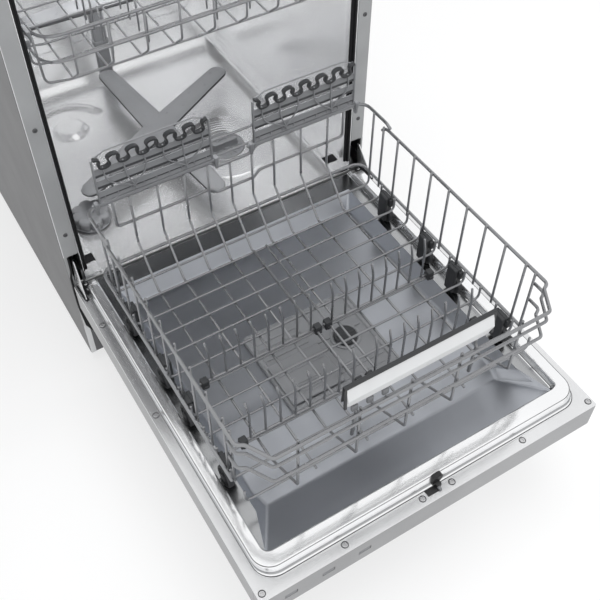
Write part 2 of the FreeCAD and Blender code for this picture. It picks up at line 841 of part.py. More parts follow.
def liner_shape():
    """The door's inner skin: flat edges, a raised bead round three sides, wheel lands and a hipped tray."""
    thick = size("liner_thick")
    plane = size("door_plane")
    land_z = size("track_z")
    floor_z = size("tray_floor")
    corner = size("bead_corner")
    wide = size("bead_width")
    edge_x = size("door_half")
    low_y = size("free_y")
    high_y = size("door_end")
    bead_end = high_y - size("hinge_strip")
    bead_low = land_z - thick
    bead_top = plane + size("bead_height")

    def slab(face, height):
        return face.extrude(V(0, 0, height))

    def inside(side_in, front_in, rear, z, height, round_by):
        """A slab inside the bead's outer outline, open to the hinge side up to rear."""
        x = edge_x - size("side_strip") - side_in
        front = low_y + size("free_strip") + front_in
        face = rounded_face(-x, x, front, high_y + 2 * corner, z, round_by)
        end = Part.makeBox(4 * x, 4 * x, 4 * height, V(-2 * x, rear, z - height))
        return slab(face, height).cut(end)

    def tray_outline(drawn_in, z, round_by):
        x = edge_x - size("side_strip") - wide - size("land_width") - drawn_in
        front = low_y + size("free_strip") + size("bead_front") + 2 * thick + drawn_in
        rear = bead_end - size("tray_hinge_gap") - drawn_in
        return rounded_face(-x, x, front, rear, z, round_by)

    edge_face = rounded_face(-edge_x, edge_x, low_y, high_y, plane - thick, size("edge_corner"))
    edge = slab(edge_face, thick).cut(inside(0, 0, high_y, plane - 2 * thick, 4 * thick, corner))
    deep = size("bead_front")
    rise = bead_top - bead_low
    bead = inside(0, 0, bead_end, bead_low, rise, corner)
    bead = bead.cut(inside(wide, deep, high_y, bead_low - thick, rise + 2 * thick, corner - wide))
    bore = inside(thick, thick, bead_end - thick, bead_low - thick, rise, corner - thick)
    inner_turn = corner - wide + thick
    bore = bore.cut(inside(wide - thick, deep - thick, high_y, bead_low - 2 * thick, 2 * rise, inner_turn))
    bead = bead.cut(bore)
    land = inside(wide - thick, deep - thick, high_y, bead_low, thick, inner_turn)
    ends = inside(0, 0, high_y, bead_low, thick, corner)
    ends = ends.cut(inside(-thick, -thick, bead_end - thick, bead_low - thick, 3 * thick, corner + thick))
    slope = size("tray_slope")
    turn = size("tray_corner")
    land = land.fuse(ends).cut(slab(tray_outline(0, bead_low - thick, turn), 3 * thick))
    hollow = Part.makeLoft(
        [tray_outline(0, land_z, turn).OuterWire, tray_outline(slope, floor_z, turn).OuterWire], True
    )
    shell = [
        tray_outline(-thick, land_z - thick, turn + thick).OuterWire,
        tray_outline(slope - thick, floor_z - thick, turn + thick).OuterWire,
    ]
    tray = Part.makeLoft(shell, True).cut(hollow)
    half_x = size("dispenser_width") / 2
    half_y = size("dispenser_depth") / 2
    middle = low_y + size("door_reach") / 2
    well = Part.makeBox(2 * half_x, 2 * half_y, 6 * thick, V(-half_x, middle - half_y, floor_z - 3 * thick))
    return edge.fuse([bead, land, tray]).cut(well).removeSplitter()


# Lower rack
def basket_wires(half_x, front, rear, floor_z, rim_z, cross_count, long_count, rims):
    """Bent cross wires over bent long wires, inside rims that lie against their uprights."""
    wire = size("wire_radius")
    rim = size("rim_radius")
    bend = size("wire_bend")
    gap = size("wire_gap")
    top = rim_z + rim
    low_z = floor_z - 2 * wire - gap
    solids = []
    margin = size("end_margin")
    for y in spread_evenly(front + margin, rear - margin, cross_count):
        path = [V(-half_x, y, top), V(-half_x, y, floor_z), V(half_x, y, floor_z), V(half_x, y, top)]
        solids += bent_wire(path, wire, bend)
    reach = half_x - size("side_margin")
    for x in spread_evenly(-reach, reach, long_count):
        path = [V(x, front, top), V(x, front, low_z), V(x, rear, low_z), V(x, rear, top)]
        solids += bent_wire(path, wire, bend)
    out = wire + rim + gap
    for z in rims:
        loop = [
            V(-half_x - out, front - out, z),
            V(half_x + out, front - out, z),
            V(half_x + out, rear + out, z),
            V(-half_x - out, rear + out, z),
        ]
        solids += bent_wire(loop, rim, size("rim_bend"), closed=True)
    return solids


def cross_wire_y(index):
    low = size("rack_front") + size("end_margin")
    high = size("rack_rear") - size("end_margin")
    return spread_evenly(low, high, int(size("cross_wires")))[index]


def make_lower_rack():
    rim_z = size("rack_rim_z")
    rims = (rim_z, rim_z - size("rim_step"), rim_z - size("third_rim_drop"), size("band_z"))
    wires = basket_wires(
        size("side_x"), size("rack_front"), size("rack_rear"), size("rack_floor_z"), rim_z,
        int(size("cross_wires")), int(size("long_wires")), rims,
    )
    reach = size("side_x") - size("side_margin")
    long_x = spread_evenly(-reach, reach, int(size("long_wires")))
    middle = len(long_x) // 2
    for x in (long_x[middle - 2], long_x[middle + 2]):
        foot = V(x, size("rack_front"), rim_z + size("rim_radius"))
        wires.append(Part.makeCylinder(size("wire_radius"), size("handle_lift"), foot))
    keep("lower_rack_basket", formed("lower_rack_basket", Part.makeCompound(wires)))
    clips = []
    axle_gaps = {"wheel_pair_1": 1, "wheel_pair_2": 4, "wheel_pair_3": 6, "wheel_pair_4": 9}
    for label, index in axle_gaps.items():
        axle_y = (cross_wire_y(index) + cross_wire_y(index + 1)) / 2
        wheels = []
        for side in (-1, 1):
            clips.append(wheel_carrier(side, axle_y))
            wheels.append(wheel(side, axle_y))
        keep(label, formed(label, Part.makeCompound(wheels)))
    tine_rows = {
        "front_left_tines": (2, -1),
        "mid_left_tines": (5, -1),
        "front_right_tines": (2, 1),
        "mid_right_tines": (5, 1),
    }
    for label, (index, side) in tine_rows.items():
        tines, holders = tine_row(side, cross_wire_y(index))
        keep(label, formed(label, Part.makeCompound(tines)))
        clips += holders
    for label, side in (("left_cup_shelf", -1), ("right_cup_shelf", 1)):
        shelf, holders = cup_shelf(side)
        keep(label, formed(label, shelf))
        clips += holders
    keep("rack_clips", formed("rack_clips", Part.makeCompound(clips)))
    handle_y = "rack_front - handle_thick / 2"
    handle_z = "rack_rim_z + rim_radius + handle_lift"
    plate = box("handle_plate", ("handle_length", "handle_thick", "handle_height"),
                ("-handle_length / 2", handle_y, handle_z))
    doc.recompute()
    rounded = doc.addObject("Part::Fillet", "rack_handle")
    rounded.Base = plate
    upright = [i for i, edge in enumerate(plate.Shape.Edges, 1) if abs(edge.tangentAt(0).y) > 0.9]
    lower = [i for i in upright if plate.Shape.Edges[i - 1].BoundBox.ZMin < plate.Shape.BoundBox.ZMin + 1]
    rounded.Edges = [(i, size("handle_corner"), size("handle_corner")) for i in lower]
    keep("rack_handle", rounded)
    keep("handle_grip", box(
        "handle_grip", ("handle_length", "handle_thick + 2 * grip_over", "grip_height"),
        ("-handle_length / 2", f"{handle_y} - grip_over", f"{handle_z} + handle_height"),
    ))


def turned(radius, length, side, inner_x, y, z):
    """A rod along X that starts inner_x from the middle plane, on the left or the right."""
    return Part.makeCylinder(radius, length, V(side * inner_x, y, z), V(side, 0, 0))


def wheel_carrier(side, y):
    """A plate inside the wheel, with a lug over the wheel that clips to the low band, and the axle."""
    z = size("wheel_z")
    inner = size("carrier_x")
    thick = size("carrier_thick")
    wide = size("carrier_width")
    lap = size("carrier_lap")
    foot = z - size("axle_head_radius") - size("carrier_foot")
    top = size("band_z") + lap
    lug_end = size("side_x") + size("wire_radius")

    def block(near, far, low):
        x = near if side > 0 else -far
        return Part.makeBox(far - near, wide, top - low, V(x, y - wide / 2, low))

    plate = block(inner, inner + thick, foot)
    lug = block(inner + thick, lug_end, size("band_z") - lap)
    start = inner + thick
    reach = size("wheel_width") + 2 * size("slide_clear")
    axle = turned(size("axle_radius"), reach, side, start, y, z)
    head = turned(size("axle_head_radius"), size("wheel_dish"), side, start + reach, y, z)
    return plate.fuse([lug, axle, head]).removeSplitter()


def wheel(side, y):
    z = size("wheel_z")
    inner = size("wheel_x")
    wide = size("wheel_width")
    deep = size("wheel_dish")
    axle = size("axle_radius")
    tread = turned(size("wheel_radius"), wide, side, inner, y, z)
    dish = turned(size("wheel_radius") - size("wheel_rim"), deep, side, inner + wide - deep, y, z)
    hub = turned(axle + size("wheel_hub_wall"), deep, side, inner + wide - deep, y, z)
    bore = turned(axle + size("run_clear"), wide, side, inner, y, z)
    return tread.cut(dish.cut(hub)).cut(bore)


def tine_row(side, y):
    """A bar along X that carries upright tines, and the clips on the floor wire that hold its ends."""
    bar_radius = size("wire_radius")
    wall = size("clip_wall")
    bar_z = size("rack_floor_z") + size("wire_radius") + wall + bar_radius
    start = size("tine_start")
    pitch = size("tine_pitch")
    count = int(size("tine_count"))
    wide = size("clip_width")
    end = start + pitch * (count - 1)
    over = pitch / 2 + wide / 2 + size("bar_over")
    solids = [turned(bar_radius, end - start + 2 * over, side, start - over, y, bar_z)]
    for i in range(count):
        foot = V(side * (start + pitch * i), y, bar_z + bar_radius)
        rise = size("tine_height")
        solids.append(Part.makeCylinder(size("tine_radius"), rise, foot))
    holders = []
    for x in (start - pitch / 2, end + pitch / 2):
        block = Part.makeBox(wide, wide, 2 * wall + 2 * bar_radius)
        block.translate(V(side * x - wide / 2, y - wide / 2, size("rack_floor_z") + size("wire_radius")))
        bore = turned(bar_radius + size("run_clear"), 4 * wide, side, x - 2 * wide, y, bar_z)
        holders.append(block.cut(bore))
    return solids, holders


def cup_shelf(side):
    """A lattice that stands on the rear rim and folds forward: scalloped top, long windows, a pivot rod."""
    wide = size("shelf_width")
    high = size("shelf_height")
    thick = size("shelf_thick")
    z = size("shelf_z")
    y = size("shelf_y")
    inner = size("shelf_inner_x")
    left = inner if side > 0 else -inner - wide
    bar = size("shelf_bar")
    panel = Part.makeBox(wide, thick, high, V(left, y - thick / 2, z))
    count = int(size("scallop_count"))
    pitch = wide / count
    tools = []
    for i in range(count):
        middle = V(left + pitch * (i + 0.5), y - thick, z + high)
        tools.append(Part.makeCylinder(0.36 * pitch, 2 * thick, middle, V(0, 1, 0)))
    row_high = (high - 0.36 * pitch - 4 * bar) / 3
    for row in range(3):
        low = z + bar + row * (row_high + bar)
        for i in range(count):
            x = left + pitch * i + bar / 2
            tools.append(Part.makeBox(pitch - bar, 2 * thick, row_high, V(x, y - thick, low)))
    rod_reach = size("clip_width")
    pin = size("shelf_pin_radius")
    along = V(1, 0, 0)
    pivot = Part.makeCylinder(pin, wide + 2 * rod_reach, V(left - rod_reach, y, z), along)
    shelf = panel.cut(tools).fuse(pivot).removeSplitter()
    holders = []
    rim_top = size("rack_rim_z") + size("rim_radius")
    half = pin + size("holder_wall")
    play = size("shelf_play")
    for x in (left - rod_reach, left + wide + play):
        block = Part.makeBox(rod_reach - play, 2 * half, z + half - rim_top, V(x, y - half, rim_top))
        bore = Part.makeCylinder(pin + size("run_clear"), 3 * rod_reach, V(x - rod_reach, y, z), along)
        holders.append(block.cut(bore))
    return shelf, holders


# Upper rack
def make_upper_rack():
    front = size("upper_front")
    rim_z = size("upper_rim_z")
    wires = basket_wires(
        size("upper_width") / 2, front, front + size("upper_depth"), size("upper_floor_z"), rim_z,
        int(size("upper_cross_wires")), int(size("upper_long_wires")), (rim_z, rim_z - 2 * size("rim_step")),
    )
    keep("upper_rack_basket", formed("upper_rack_basket", Part.makeCompound(wires)))
    inner = "upper_width / 2 + wire_radius + 2 * rim_radius + 2 * wire_gap"
    reach = f"half_tub - rail_width + slide_reach - slide_clear - ({inner})"
    keep("upper_slides", group("upper_slides", *both_sides("upper_slide", lambda name, side: side_box(
        name, side, inner, (reach, "rail_length", "slide_height - 2 * slide_clear"),
        "rail_y", "upper_rim_z - slide_height / 2 + slide_clear",
    ))))
    top = "upper_floor_z - 3 * wire_radius - wire_gap"
    body = rod(
        "feed_body", "hanger_radius", "hanger_length - arm_thick",
        (0, "tub_mid", f"{top} - hanger_length + arm_thick"),
    )
    stub = rod("feed_stub", "post_radius", "hanger_length", (0, "tub_mid", f"{top} - hanger_length"))
    flange = rod("feed_flange", "hanger_flange_radius", "base_wall", (0, "tub_mid", f"{top} - base_wall"))
    keep("arm_feed", fuse("arm_feed", body, stub, flange))
    bore = size("post_radius") + size("run_clear")
    shape = spray_arm(
        V(0, size("tub_mid"), 0), size("middle_arm_z") - size("wheel_lift"), size("middle_arm_radius"),
        size("arm_thick"), bore, (0,),
    )
    keep("middle_spray_arm", formed("middle_spray_arm", shape))


make_cabinet()
make_seal()
make_hinges()
make_tub()
make_water_parts()
make_lower_arm()
make_door()
make_lower_rack()
make_upper_rack()
doc.recompute()

for obj in doc.Objects:
    if {"Invalid", "Error"} & set(obj.State):
        raise RuntimeError(f"{obj.Name} failed: {obj.State}")
for obj in parts:
    if obj.Shape.isNull() or not obj.Shape.isValid() or not obj.Shape.Solids:
        raise RuntimeError(f"{obj.Label} has no valid solid")

os.makedirs("parts", exist_ok=True)
for obj in parts:
    obj.Shape.exportStep(os.path.join("parts", obj.Label + ".step"))
print(len(parts), "pieces written")
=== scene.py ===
"""The looks of the dishwasher: its door open, its lower rack pulled out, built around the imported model."""
import json
from math import copysign, cos, hypot, pi, radians, sin, tan

import bmesh
import bpy
from mathutils import Matrix, Vector


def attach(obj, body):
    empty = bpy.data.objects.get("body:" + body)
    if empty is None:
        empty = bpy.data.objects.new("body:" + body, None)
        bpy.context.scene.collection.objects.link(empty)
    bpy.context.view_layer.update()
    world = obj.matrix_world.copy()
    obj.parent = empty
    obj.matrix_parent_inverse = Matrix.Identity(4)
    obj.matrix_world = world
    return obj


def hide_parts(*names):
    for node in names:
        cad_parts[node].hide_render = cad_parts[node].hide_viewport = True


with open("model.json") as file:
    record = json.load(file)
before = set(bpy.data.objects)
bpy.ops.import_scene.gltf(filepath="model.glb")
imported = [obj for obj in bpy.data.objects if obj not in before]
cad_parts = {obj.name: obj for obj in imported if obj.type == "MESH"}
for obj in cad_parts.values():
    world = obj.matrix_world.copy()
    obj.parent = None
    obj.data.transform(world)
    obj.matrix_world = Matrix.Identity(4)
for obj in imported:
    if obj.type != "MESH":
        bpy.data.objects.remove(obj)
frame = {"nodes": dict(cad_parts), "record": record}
nodes = frame["nodes"]
scene = bpy.context.scene
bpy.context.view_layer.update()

# Places in millimetres, in the model's frame
MM = 0.001
FRONT = 25.0
FREE = -625.0
BACK = 625.0
HALF_X = 299.0
DOOR_X = 297.5
DOOR_Z = 230.0
DOOR_LOW = 175.0
DOOR_END = FRONT - 12
BEAD_END = DOOR_END - 9
LAND_END = DOOR_END - 38
LAND_Z = 228.0
SEAM_Z = 228.4
TOP_Z = 826.0
BOARD_TOP = 848.0
TUB_X = 272.0
TUB_FRONT = FRONT + 1.2
TUB_BACK = TUB_FRONT + 545
TUB_MID = TUB_FRONT + 272.5
TUB_FLOOR = 196.0
TUB_TOP = 818.0
FILTER_X, FILTER_Y = 112, 236.7
RACK_REAR = FRONT - 60
RACK_FRONT = RACK_REAR - 501
RACK_X = 250.5
RACK_FLOOR = 268.0
RIM_OUT = 5.1
RIM_Z = 415.0
BAND_Z = 281.0
LOW_BAND = 291.0
TINE_Z = RACK_FLOOR + 8.4
WHEEL_Z = 246.3
SHELF_Y = RACK_REAR + 5
CROSS_Y = [RACK_FRONT + 32 + 437 * i / 11 for i in range(12)]
WHEEL_Y = [(CROSS_Y[i] + CROSS_Y[i + 1]) / 2 for i in (1, 4, 6, 9)]
SIDE_Y = [-67, -97, -138] + [-183.75 - 45.75 * i for i in range(7)]
SIDE_END = RACK_FRONT + 58
AXES = {"x": "yzx", "y": "zxy", "z": "xyz"}
MATERIALS = {}


# Materials
def new_material(name):
    material = bpy.data.materials.new(name)
    material.use_nodes = True
    MATERIALS[name] = material
    tree = material.node_tree
    return tree, tree.nodes["Principled BSDF"]


def feed(node, *places, **named):
    """Sets inputs by place or by name; each takes a plain value or the output that feeds it."""
    for key, value in [*enumerate(places), *named.items()]:
        socket = node.inputs[key if isinstance(key, int) else key.replace("_", " ")]
        if isinstance(value, bpy.types.NodeSocket):
            node.id_data.links.new(value, socket)
        else:
            socket.default_value = value


def add_node(tree, kind, *places, operation=None, output=0, **named):
    """Adds a node, sets its inputs and returns one of its outputs."""
    node = tree.nodes.new("ShaderNode" + kind)
    if operation:
        node.operation = operation
    feed(node, *places, **named)
    return node.outputs[output]


def object_noise(tree, scale, detail, stretch=(1, 1, 1)):
    """Noise in metres of the object's own space, drawn out along an axis where stretch is small."""
    where = add_node(tree, "TexCoord", output="Object")
    place = add_node(tree, "Mapping", Vector=where, Scale=stretch)
    return add_node(tree, "TexNoise", Vector=place, Scale=scale, Detail=detail)


def ramp(tree, source, colour, darker, lighter):
    """The colour, from a darker to a lighter shade of it."""
    result = add_node(tree, "ValToRGB", source)
    stops = result.node.color_ramp.elements
    for stop, place, amount in zip(stops, (0.3, 0.7), (1 - darker, 1 + lighter)):
        stop.position = place
        stop.color = (*(min(1.0, c * amount) for c in colour), 1)
    return result


def steel(name, colour, rough, grain=(1, 1, 1), grain_scale=400, grain_bump=0.05, spots=0.08, metallic=1.0,
          cloud=9):
    """Metal sheet: fine brushed grain, with broad soft variation in its colour."""
    tree, shader = new_material(name)
    broad = object_noise(tree, cloud, 2)
    fine = object_noise(tree, grain_scale, 4, grain)
    feed(shader, Metallic=metallic, Base_Color=ramp(tree, broad, colour, spots, spots * 0.6),
         Roughness=add_node(tree, "MapRange", fine, 0, 1, rough - 0.06, rough + 0.08),
         Normal=add_node(tree, "Bump", Strength=grain_bump, Distance=0.0004, Height=fine))


def plastic(name, colour, rough, grain_scale=900, grain_bump=0.12, metallic=0.0, sheen=0.5, cloud=14,
            spots=0.06):
    """Moulded plastic or paint: a fine texture and slight unevenness of colour."""
    tree, shader = new_material(name)
    broad = object_noise(tree, cloud, 2)
    fine = object_noise(tree, grain_scale, 2)
    feed(shader, Metallic=metallic, Specular_IOR_Level=sheen,
         Base_Color=ramp(tree, broad, colour, spots, spots),
         Roughness=add_node(tree, "MapRange", broad, 0, 1, rough - 0.05, rough + 0.05),
         Normal=add_node(tree, "Bump", Strength=grain_bump, Distance=0.0003, Height=fine))


plastic("grey_paint", (0.088, 0.088, 0.092), 0.42, 500, 0.05, metallic=0.2, spots=0.03)
# Lighter copy of the grey paint for the front frame flange: painted light, where the flange catches more
# light than the side panels.
plastic("painted_light_frame_grey", (0.32, 0.325, 0.33), 0.4, 500, 0.05, metallic=0.2)
steel("galvanised", (0.5, 0.51, 0.52), 0.42, spots=0.09, cloud=70)
steel("stainless", (0.91, 0.915, 0.925), 0.13, (1, 30, 1), spots=0.03, metallic=0.9)
steel("strip_steel", (0.77, 0.775, 0.785), 0.22, (1, 30, 1), spots=0.05, metallic=0.92)
# Darker copy of the stainless steel: painted shade on a band of the bead's outer wall and on the flat land
# beside the tray.
steel("painted_shade_wall_steel", (0.42, 0.428, 0.436), 0.2, (1, 30, 1), spots=0.05)
# Darker, bluish copy of the stainless steel for the door's sunken tray: a painted dark reflection.
steel("painted_reflection_tray_steel", (0.5, 0.52, 0.56), 0.34, (1, 30, 1), spots=0.06)
steel("tub_steel", (0.93, 0.935, 0.945), 0.24, (1, 1, 30), spots=0.03, metallic=0.82)
# Near-black copy of the stainless steel for the tub's ceiling: painted shade, which the door's bead mirrors
# as dark.
steel("painted_shade_ceiling_steel", (0.13, 0.132, 0.138), 0.3, (1, 30, 1), spots=0.06)
steel("brushed_panel", (0.36, 0.362, 0.37), 0.36, (1, 60, 1), 260, 0.1)
steel("screw_steel", (0.62, 0.62, 0.63), 0.25)
plastic("silver_wire", (0.28, 0.284, 0.294), 0.28, 700, 0.06, metallic=0.8)
plastic("black_rubber", (0.008, 0.008, 0.009), 0.66, sheen=0.25)
plastic("black_plastic", (0.012, 0.012, 0.013), 0.45)
plastic("dark_plastic", (0.024, 0.025, 0.027), 0.52)
plastic("grey_plastic", (0.17, 0.174, 0.182), 0.48)
# Near-black plastic laid where shade falls: painted shade under the shelf slats and on the spray arms'
# upright sides.
plastic("painted_shade_plastic", (0.045, 0.046, 0.049), 0.5)
plastic("pale_plastic", (0.62, 0.625, 0.63), 0.4)
plastic("top_board", (0.62, 0.62, 0.61), 0.4, cloud=160, spots=0.03)

slot_of = {row["node"]: row["material_slot"] for row in frame["record"]["subparts"]}
for name, obj in nodes.items():
    obj.data.materials.clear()
    obj.data.materials.append(MATERIALS[slot_of[name]])

# Builders of forms, in millimetres; they add to this one mesh, which piece() makes an object of and clears
bm = bmesh.new()


def loft(rings, closed=True, cap=False, loop=False):
    """Faces between rings of equal point counts; loop also joins the last ring to the first."""
    made = [[bm.verts.new(p) for p in ring] for ring in rings]
    count = len(made[0])
    steps = list(zip(made, made[1:]))
    if loop:
        steps.append((made[-1], made[0]))
    for low, high in steps:
        for i in range(count if closed else count - 1):
            j = (i + 1) % count
            bm.faces.new((low[i], low[j], high[j], high[i]))
    if cap:
        bm.faces.new(made[0][::-1])
        bm.faces.new(made[-1])
    return made


def close_ends(made):
    """A face across each end of a loft whose rings are open."""
    for end in (0, -1):
        bm.faces.new([ring[end] for ring in made])


def part_floors(one, other):
    """A face across each of two rings, in place of the faces between them."""
    both = set(one) | set(other)
    for face in [f for f in bm.faces if both.issuperset(f.verts)]:
        bm.faces.remove(face)
    bm.faces.new(one)
    bm.faces.new(other)


def sink(rim, drop):
    """A recess: walls down from a rim of points, and a floor."""
    deep = [bm.verts.new(v.co + Vector(drop)) for v in rim]
    for k in range(len(rim)):
        bm.faces.new((rim[k - 1], rim[k], deep[k], deep[k - 1]))
    bm.faces.new(deep)


def edges_around(ring):
    return [bm.edges.get((ring[k - 1], ring[k])) for k in range(len(ring))]


def paint_from(start, index):
    """Gives the faces made since the start another of the piece's materials."""
    bm.faces.ensure_lookup_table()
    for face in bm.faces[start:]:
        face.material_index = index


def paint_rings(rings, index):
    """Gives the faces between rings another of the piece's materials."""
    points = {v for ring in rings for v in ring}
    for face in bm.faces:
        if len(face.verts) == 4 and points.issuperset(face.verts):
            face.material_index = index


def block(low, high, bevel=0.0, segments=2):
    """A box with rounded edges."""
    size = [b - a for a, b in zip(low, high)]
    middle = [(a + b) / 2 for a, b in zip(low, high)]
    made = bmesh.ops.create_cube(bm, size=1, matrix=Matrix.Translation(middle) @ Matrix.Diagonal((*size, 1)))
    if bevel:
        edges = list({e for v in made["verts"] for e in v.link_edges})
        bmesh.ops.bevel(bm, geom=edges, offset=bevel, segments=segments, affect="EDGES", profile=0.5)


def pair(low, high, bevel=0.0, segments=2):
    """The same rounded box on the right and, mirrored, on the left."""
    block(low, high, bevel, segments)
    block((-high[0], low[1], low[2]), (-low[0], high[1], high[2]), bevel, segments)


def across(half):
    """The points, then the same on the other side, from the last to the first."""
    return half + [(-x, *rest) for x, *rest in reversed(half)]


def rounded(points, bend, closed=False, steps=5):
    """The points joined by straight runs, with each corner eased over the bend."""
    points = [Vector(p) for p in points]
    path = []
    last = len(points) - 1
    for i, here in enumerate(points):
        before = points[i - 1] - here
        after = points[(i + 1) % len(points)] - here
        turn = pi - before.angle(after) if closed or 0 < i < last else 0
        if turn < 0.02:
            path.append(here)
            continue
        trim = min(bend * tan(turn / 2), 0.48 * before.length, 0.48 * after.length)
        start = here + before.normalized() * trim
        end = here + after.normalized() * trim
        for k in range(steps + 1):
            t = k / steps
            path.append(start * (1 - t) ** 2 + here * (2 * t * (1 - t)) + end * t * t)
    return path


def circle(radius, steps):
    return [(radius * cos(2 * pi * k / steps), radius * sin(2 * pi * k / steps)) for k in range(steps)]


def tube(points, radius, bend=8, closed=False, sides=8):
    """Round wire along the points, with eased corners and domed ends."""
    path = rounded(points, bend, closed)
    count = len(path)
    tangent = None
    rings = []
    for i, here in enumerate(path):
        come = path[i - 1] if closed or i else here
        go = path[(i + 1) % count] if closed or i < count - 1 else here
        new = (go - come).normalized()
        if tangent is None:
            side = new.orthogonal().normalized()
        else:
            side = tangent.rotation_difference(new) @ side
            side = (side - new * side.dot(new)).normalized()
        tangent = new
        up = new.cross(side)
        ends = [(0, 1)]
        if not closed and i == 0:
            ends = [(-0.45 * radius, 0.55), (0, 1)]
        if not closed and i == count - 1:
            ends = [(0, 1), (0.45 * radius, 0.55)]
        for shift, scale in ends:
            rings.append([here + new * shift + side * u + up * v for u, v in circle(radius * scale, sides)])
    loft(rings, cap=not closed, loop=closed)


def turned(u, v, w, axes):
    """Two flat numbers and a depth in the order x, y, z."""
    place = dict(zip(axes, (u, v, w)))
    return place["x"], place["y"], place["z"]


def ring_at(points, depth, centre, axis):
    """Flat points set at a depth along an axis through the centre."""
    places = [turned(u, v, depth, AXES[axis]) for u, v in points]
    return [[a + b for a, b in zip(centre, place)] for place in places]


def lathe(profile, centre, axis="z", steps=32, loop=False):
    """A turned form: (radius, height) pairs, from the foot up."""
    loft([ring_at(circle(r, steps), h, centre, axis) for r, h in profile], cap=not loop, loop=loop)


def spokes(count, centre, start, end, radius, axis="z"):
    """Rods between two circles around a centre, each given as its radius and height."""
    for ends in zip(*(ring_at(circle(r, count), h, centre, axis) for r, h in (start, end))):
        tube(ends, radius, 1, sides=6)


def prism(outline, low, high, axes="xyz"):
    """A flat outline drawn out from low to high; axes says where its two numbers and its depth go."""
    loft([[turned(u, v, w, axes) for u, v in outline] for w in (low, high)], cap=True)


def twins(outline, low, high, axes="xyz"):
    """The same prism on the left and on the right."""
    for side in (-1, 1):
        prism([(side * u, v) for u, v in outline], low, high, axes)


def oblong(u0, u1, v0, v1, corner, steps=5):
    """The outline of a rectangle with rounded corners."""
    points = []
    turns = ((u1 - corner, v1 - corner, 0), (u0 + corner, v1 - corner, 90),
             (u0 + corner, v0 + corner, 180), (u1 - corner, v0 + corner, 270))
    for u, v, start in turns:
        for k in range(steps + 1):
            a = radians(start + 90 * k / steps)
            points.append((u + corner * cos(a), v + corner * sin(a)))
    return points


def shell(levels, axes="xyz", loop=False, cap=False):
    """Lofts oblongs: each level is u0, u1, v0, v1, corner and depth."""
    rings = []
    for *sides, corner, depth in levels:
        rings.append([turned(u, v, depth, axes) for u, v in oblong(*sides, corner)])
    return loft(rings, loop=loop, cap=cap)


def arch(x, depth, top, foot):
    """Up the left side, across the top and down the right."""
    return [(-x, depth, foot), (-x, depth, top), (x, depth, top), (x, depth, foot)]


def smooth(a, b, value):
    """Eases from 0 at a to 1 at b."""
    t = max(0.0, min(1.0, (value - a) / (b - a)))
    return t * t * (3 - 2 * t)


def piece(name, slot, body, *stands_for, sharp=35, finish=None, others=(), even=False):
    """Makes the form an object in metres that rides on a body and may stand for CAD nodes."""
    bmesh.ops.recalc_face_normals(bm, faces=bm.faces)
    bmesh.ops.scale(bm, vec=(MM, MM, MM), verts=bm.verts)
    mesh = bpy.data.meshes.new(name)
    bm.to_mesh(mesh)
    bm.clear()
    mesh.shade_smooth()
    mesh.set_sharp_from_angle(angle=radians(sharp))
    for look in (finish or slot, *others):
        mesh.materials.append(MATERIALS[look])
    obj = bpy.data.objects.new(name, mesh)
    scene.collection.objects.link(obj)
    if even:
        weights = obj.modifiers.new("even_shading", "WEIGHTED_NORMAL")
        weights.keep_sharp = True
    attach(obj, body)
    if stands_for:
        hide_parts(*stands_for)
    return obj


def cross_screw(centre, axis, sign, radius):
    """A screw head with a cross recess, facing along an axis."""
    arm, half, top = 0.62 * radius, 0.17 * radius, 1.6
    quarter = [(arm, -half), (arm, half), (half, half)]
    cross = []
    for _ in range(4):
        cross += quarter
        quarter = [(-v, u) for u, v in quarter]
    levels = ((radius, 0), (radius, 0.8), (0.82 * radius, top))
    head = loft([ring_at(circle(r, 24), sign * depth, centre, axis) for r, depth in levels])
    bm.faces.new(head[0][::-1])
    mouth = [bm.verts.new(p) for p in ring_at(cross, sign * top, centre, axis)]
    sink(mouth, turned(0, 0, -sign, AXES[axis]))
    edges = edges_around(head[-1]) + edges_around(mouth)
    bmesh.ops.triangle_fill(bm, use_beauty=True, use_dissolve=False, edges=edges)


# Door
def liner_ring(side_in, front_in, turn, side_z, front_z, fades=None):
    """One line of the liner's edge and bead: up the left side, across the free end and back on the right.

    A line that fades comes down to the given height at its ends by the hinge.
    """
    x = DOOR_X - side_in
    front = FREE + front_in
    stops = [(DOOR_END, 0), (BEAD_END, 0), (BEAD_END - 4, 0.35), (BEAD_END - 9, 0.8), (BEAD_END - 16, 1),
             (BEAD_END - 200, 1), (BEAD_END - 400, 1)]
    left = []
    for y, rise in stops:
        left.append((-x, y, side_z if fades is None else fades + (side_z - fades) * rise))
    for k in range(9):
        a = pi / 2 * k / 8
        left.append((turn - x - turn * cos(a), front + turn - turn * sin(a),
                     side_z + (front_z - side_z) * smooth(0, 8, k)))
    left.append((-60, front, front_z))
    return across(left)


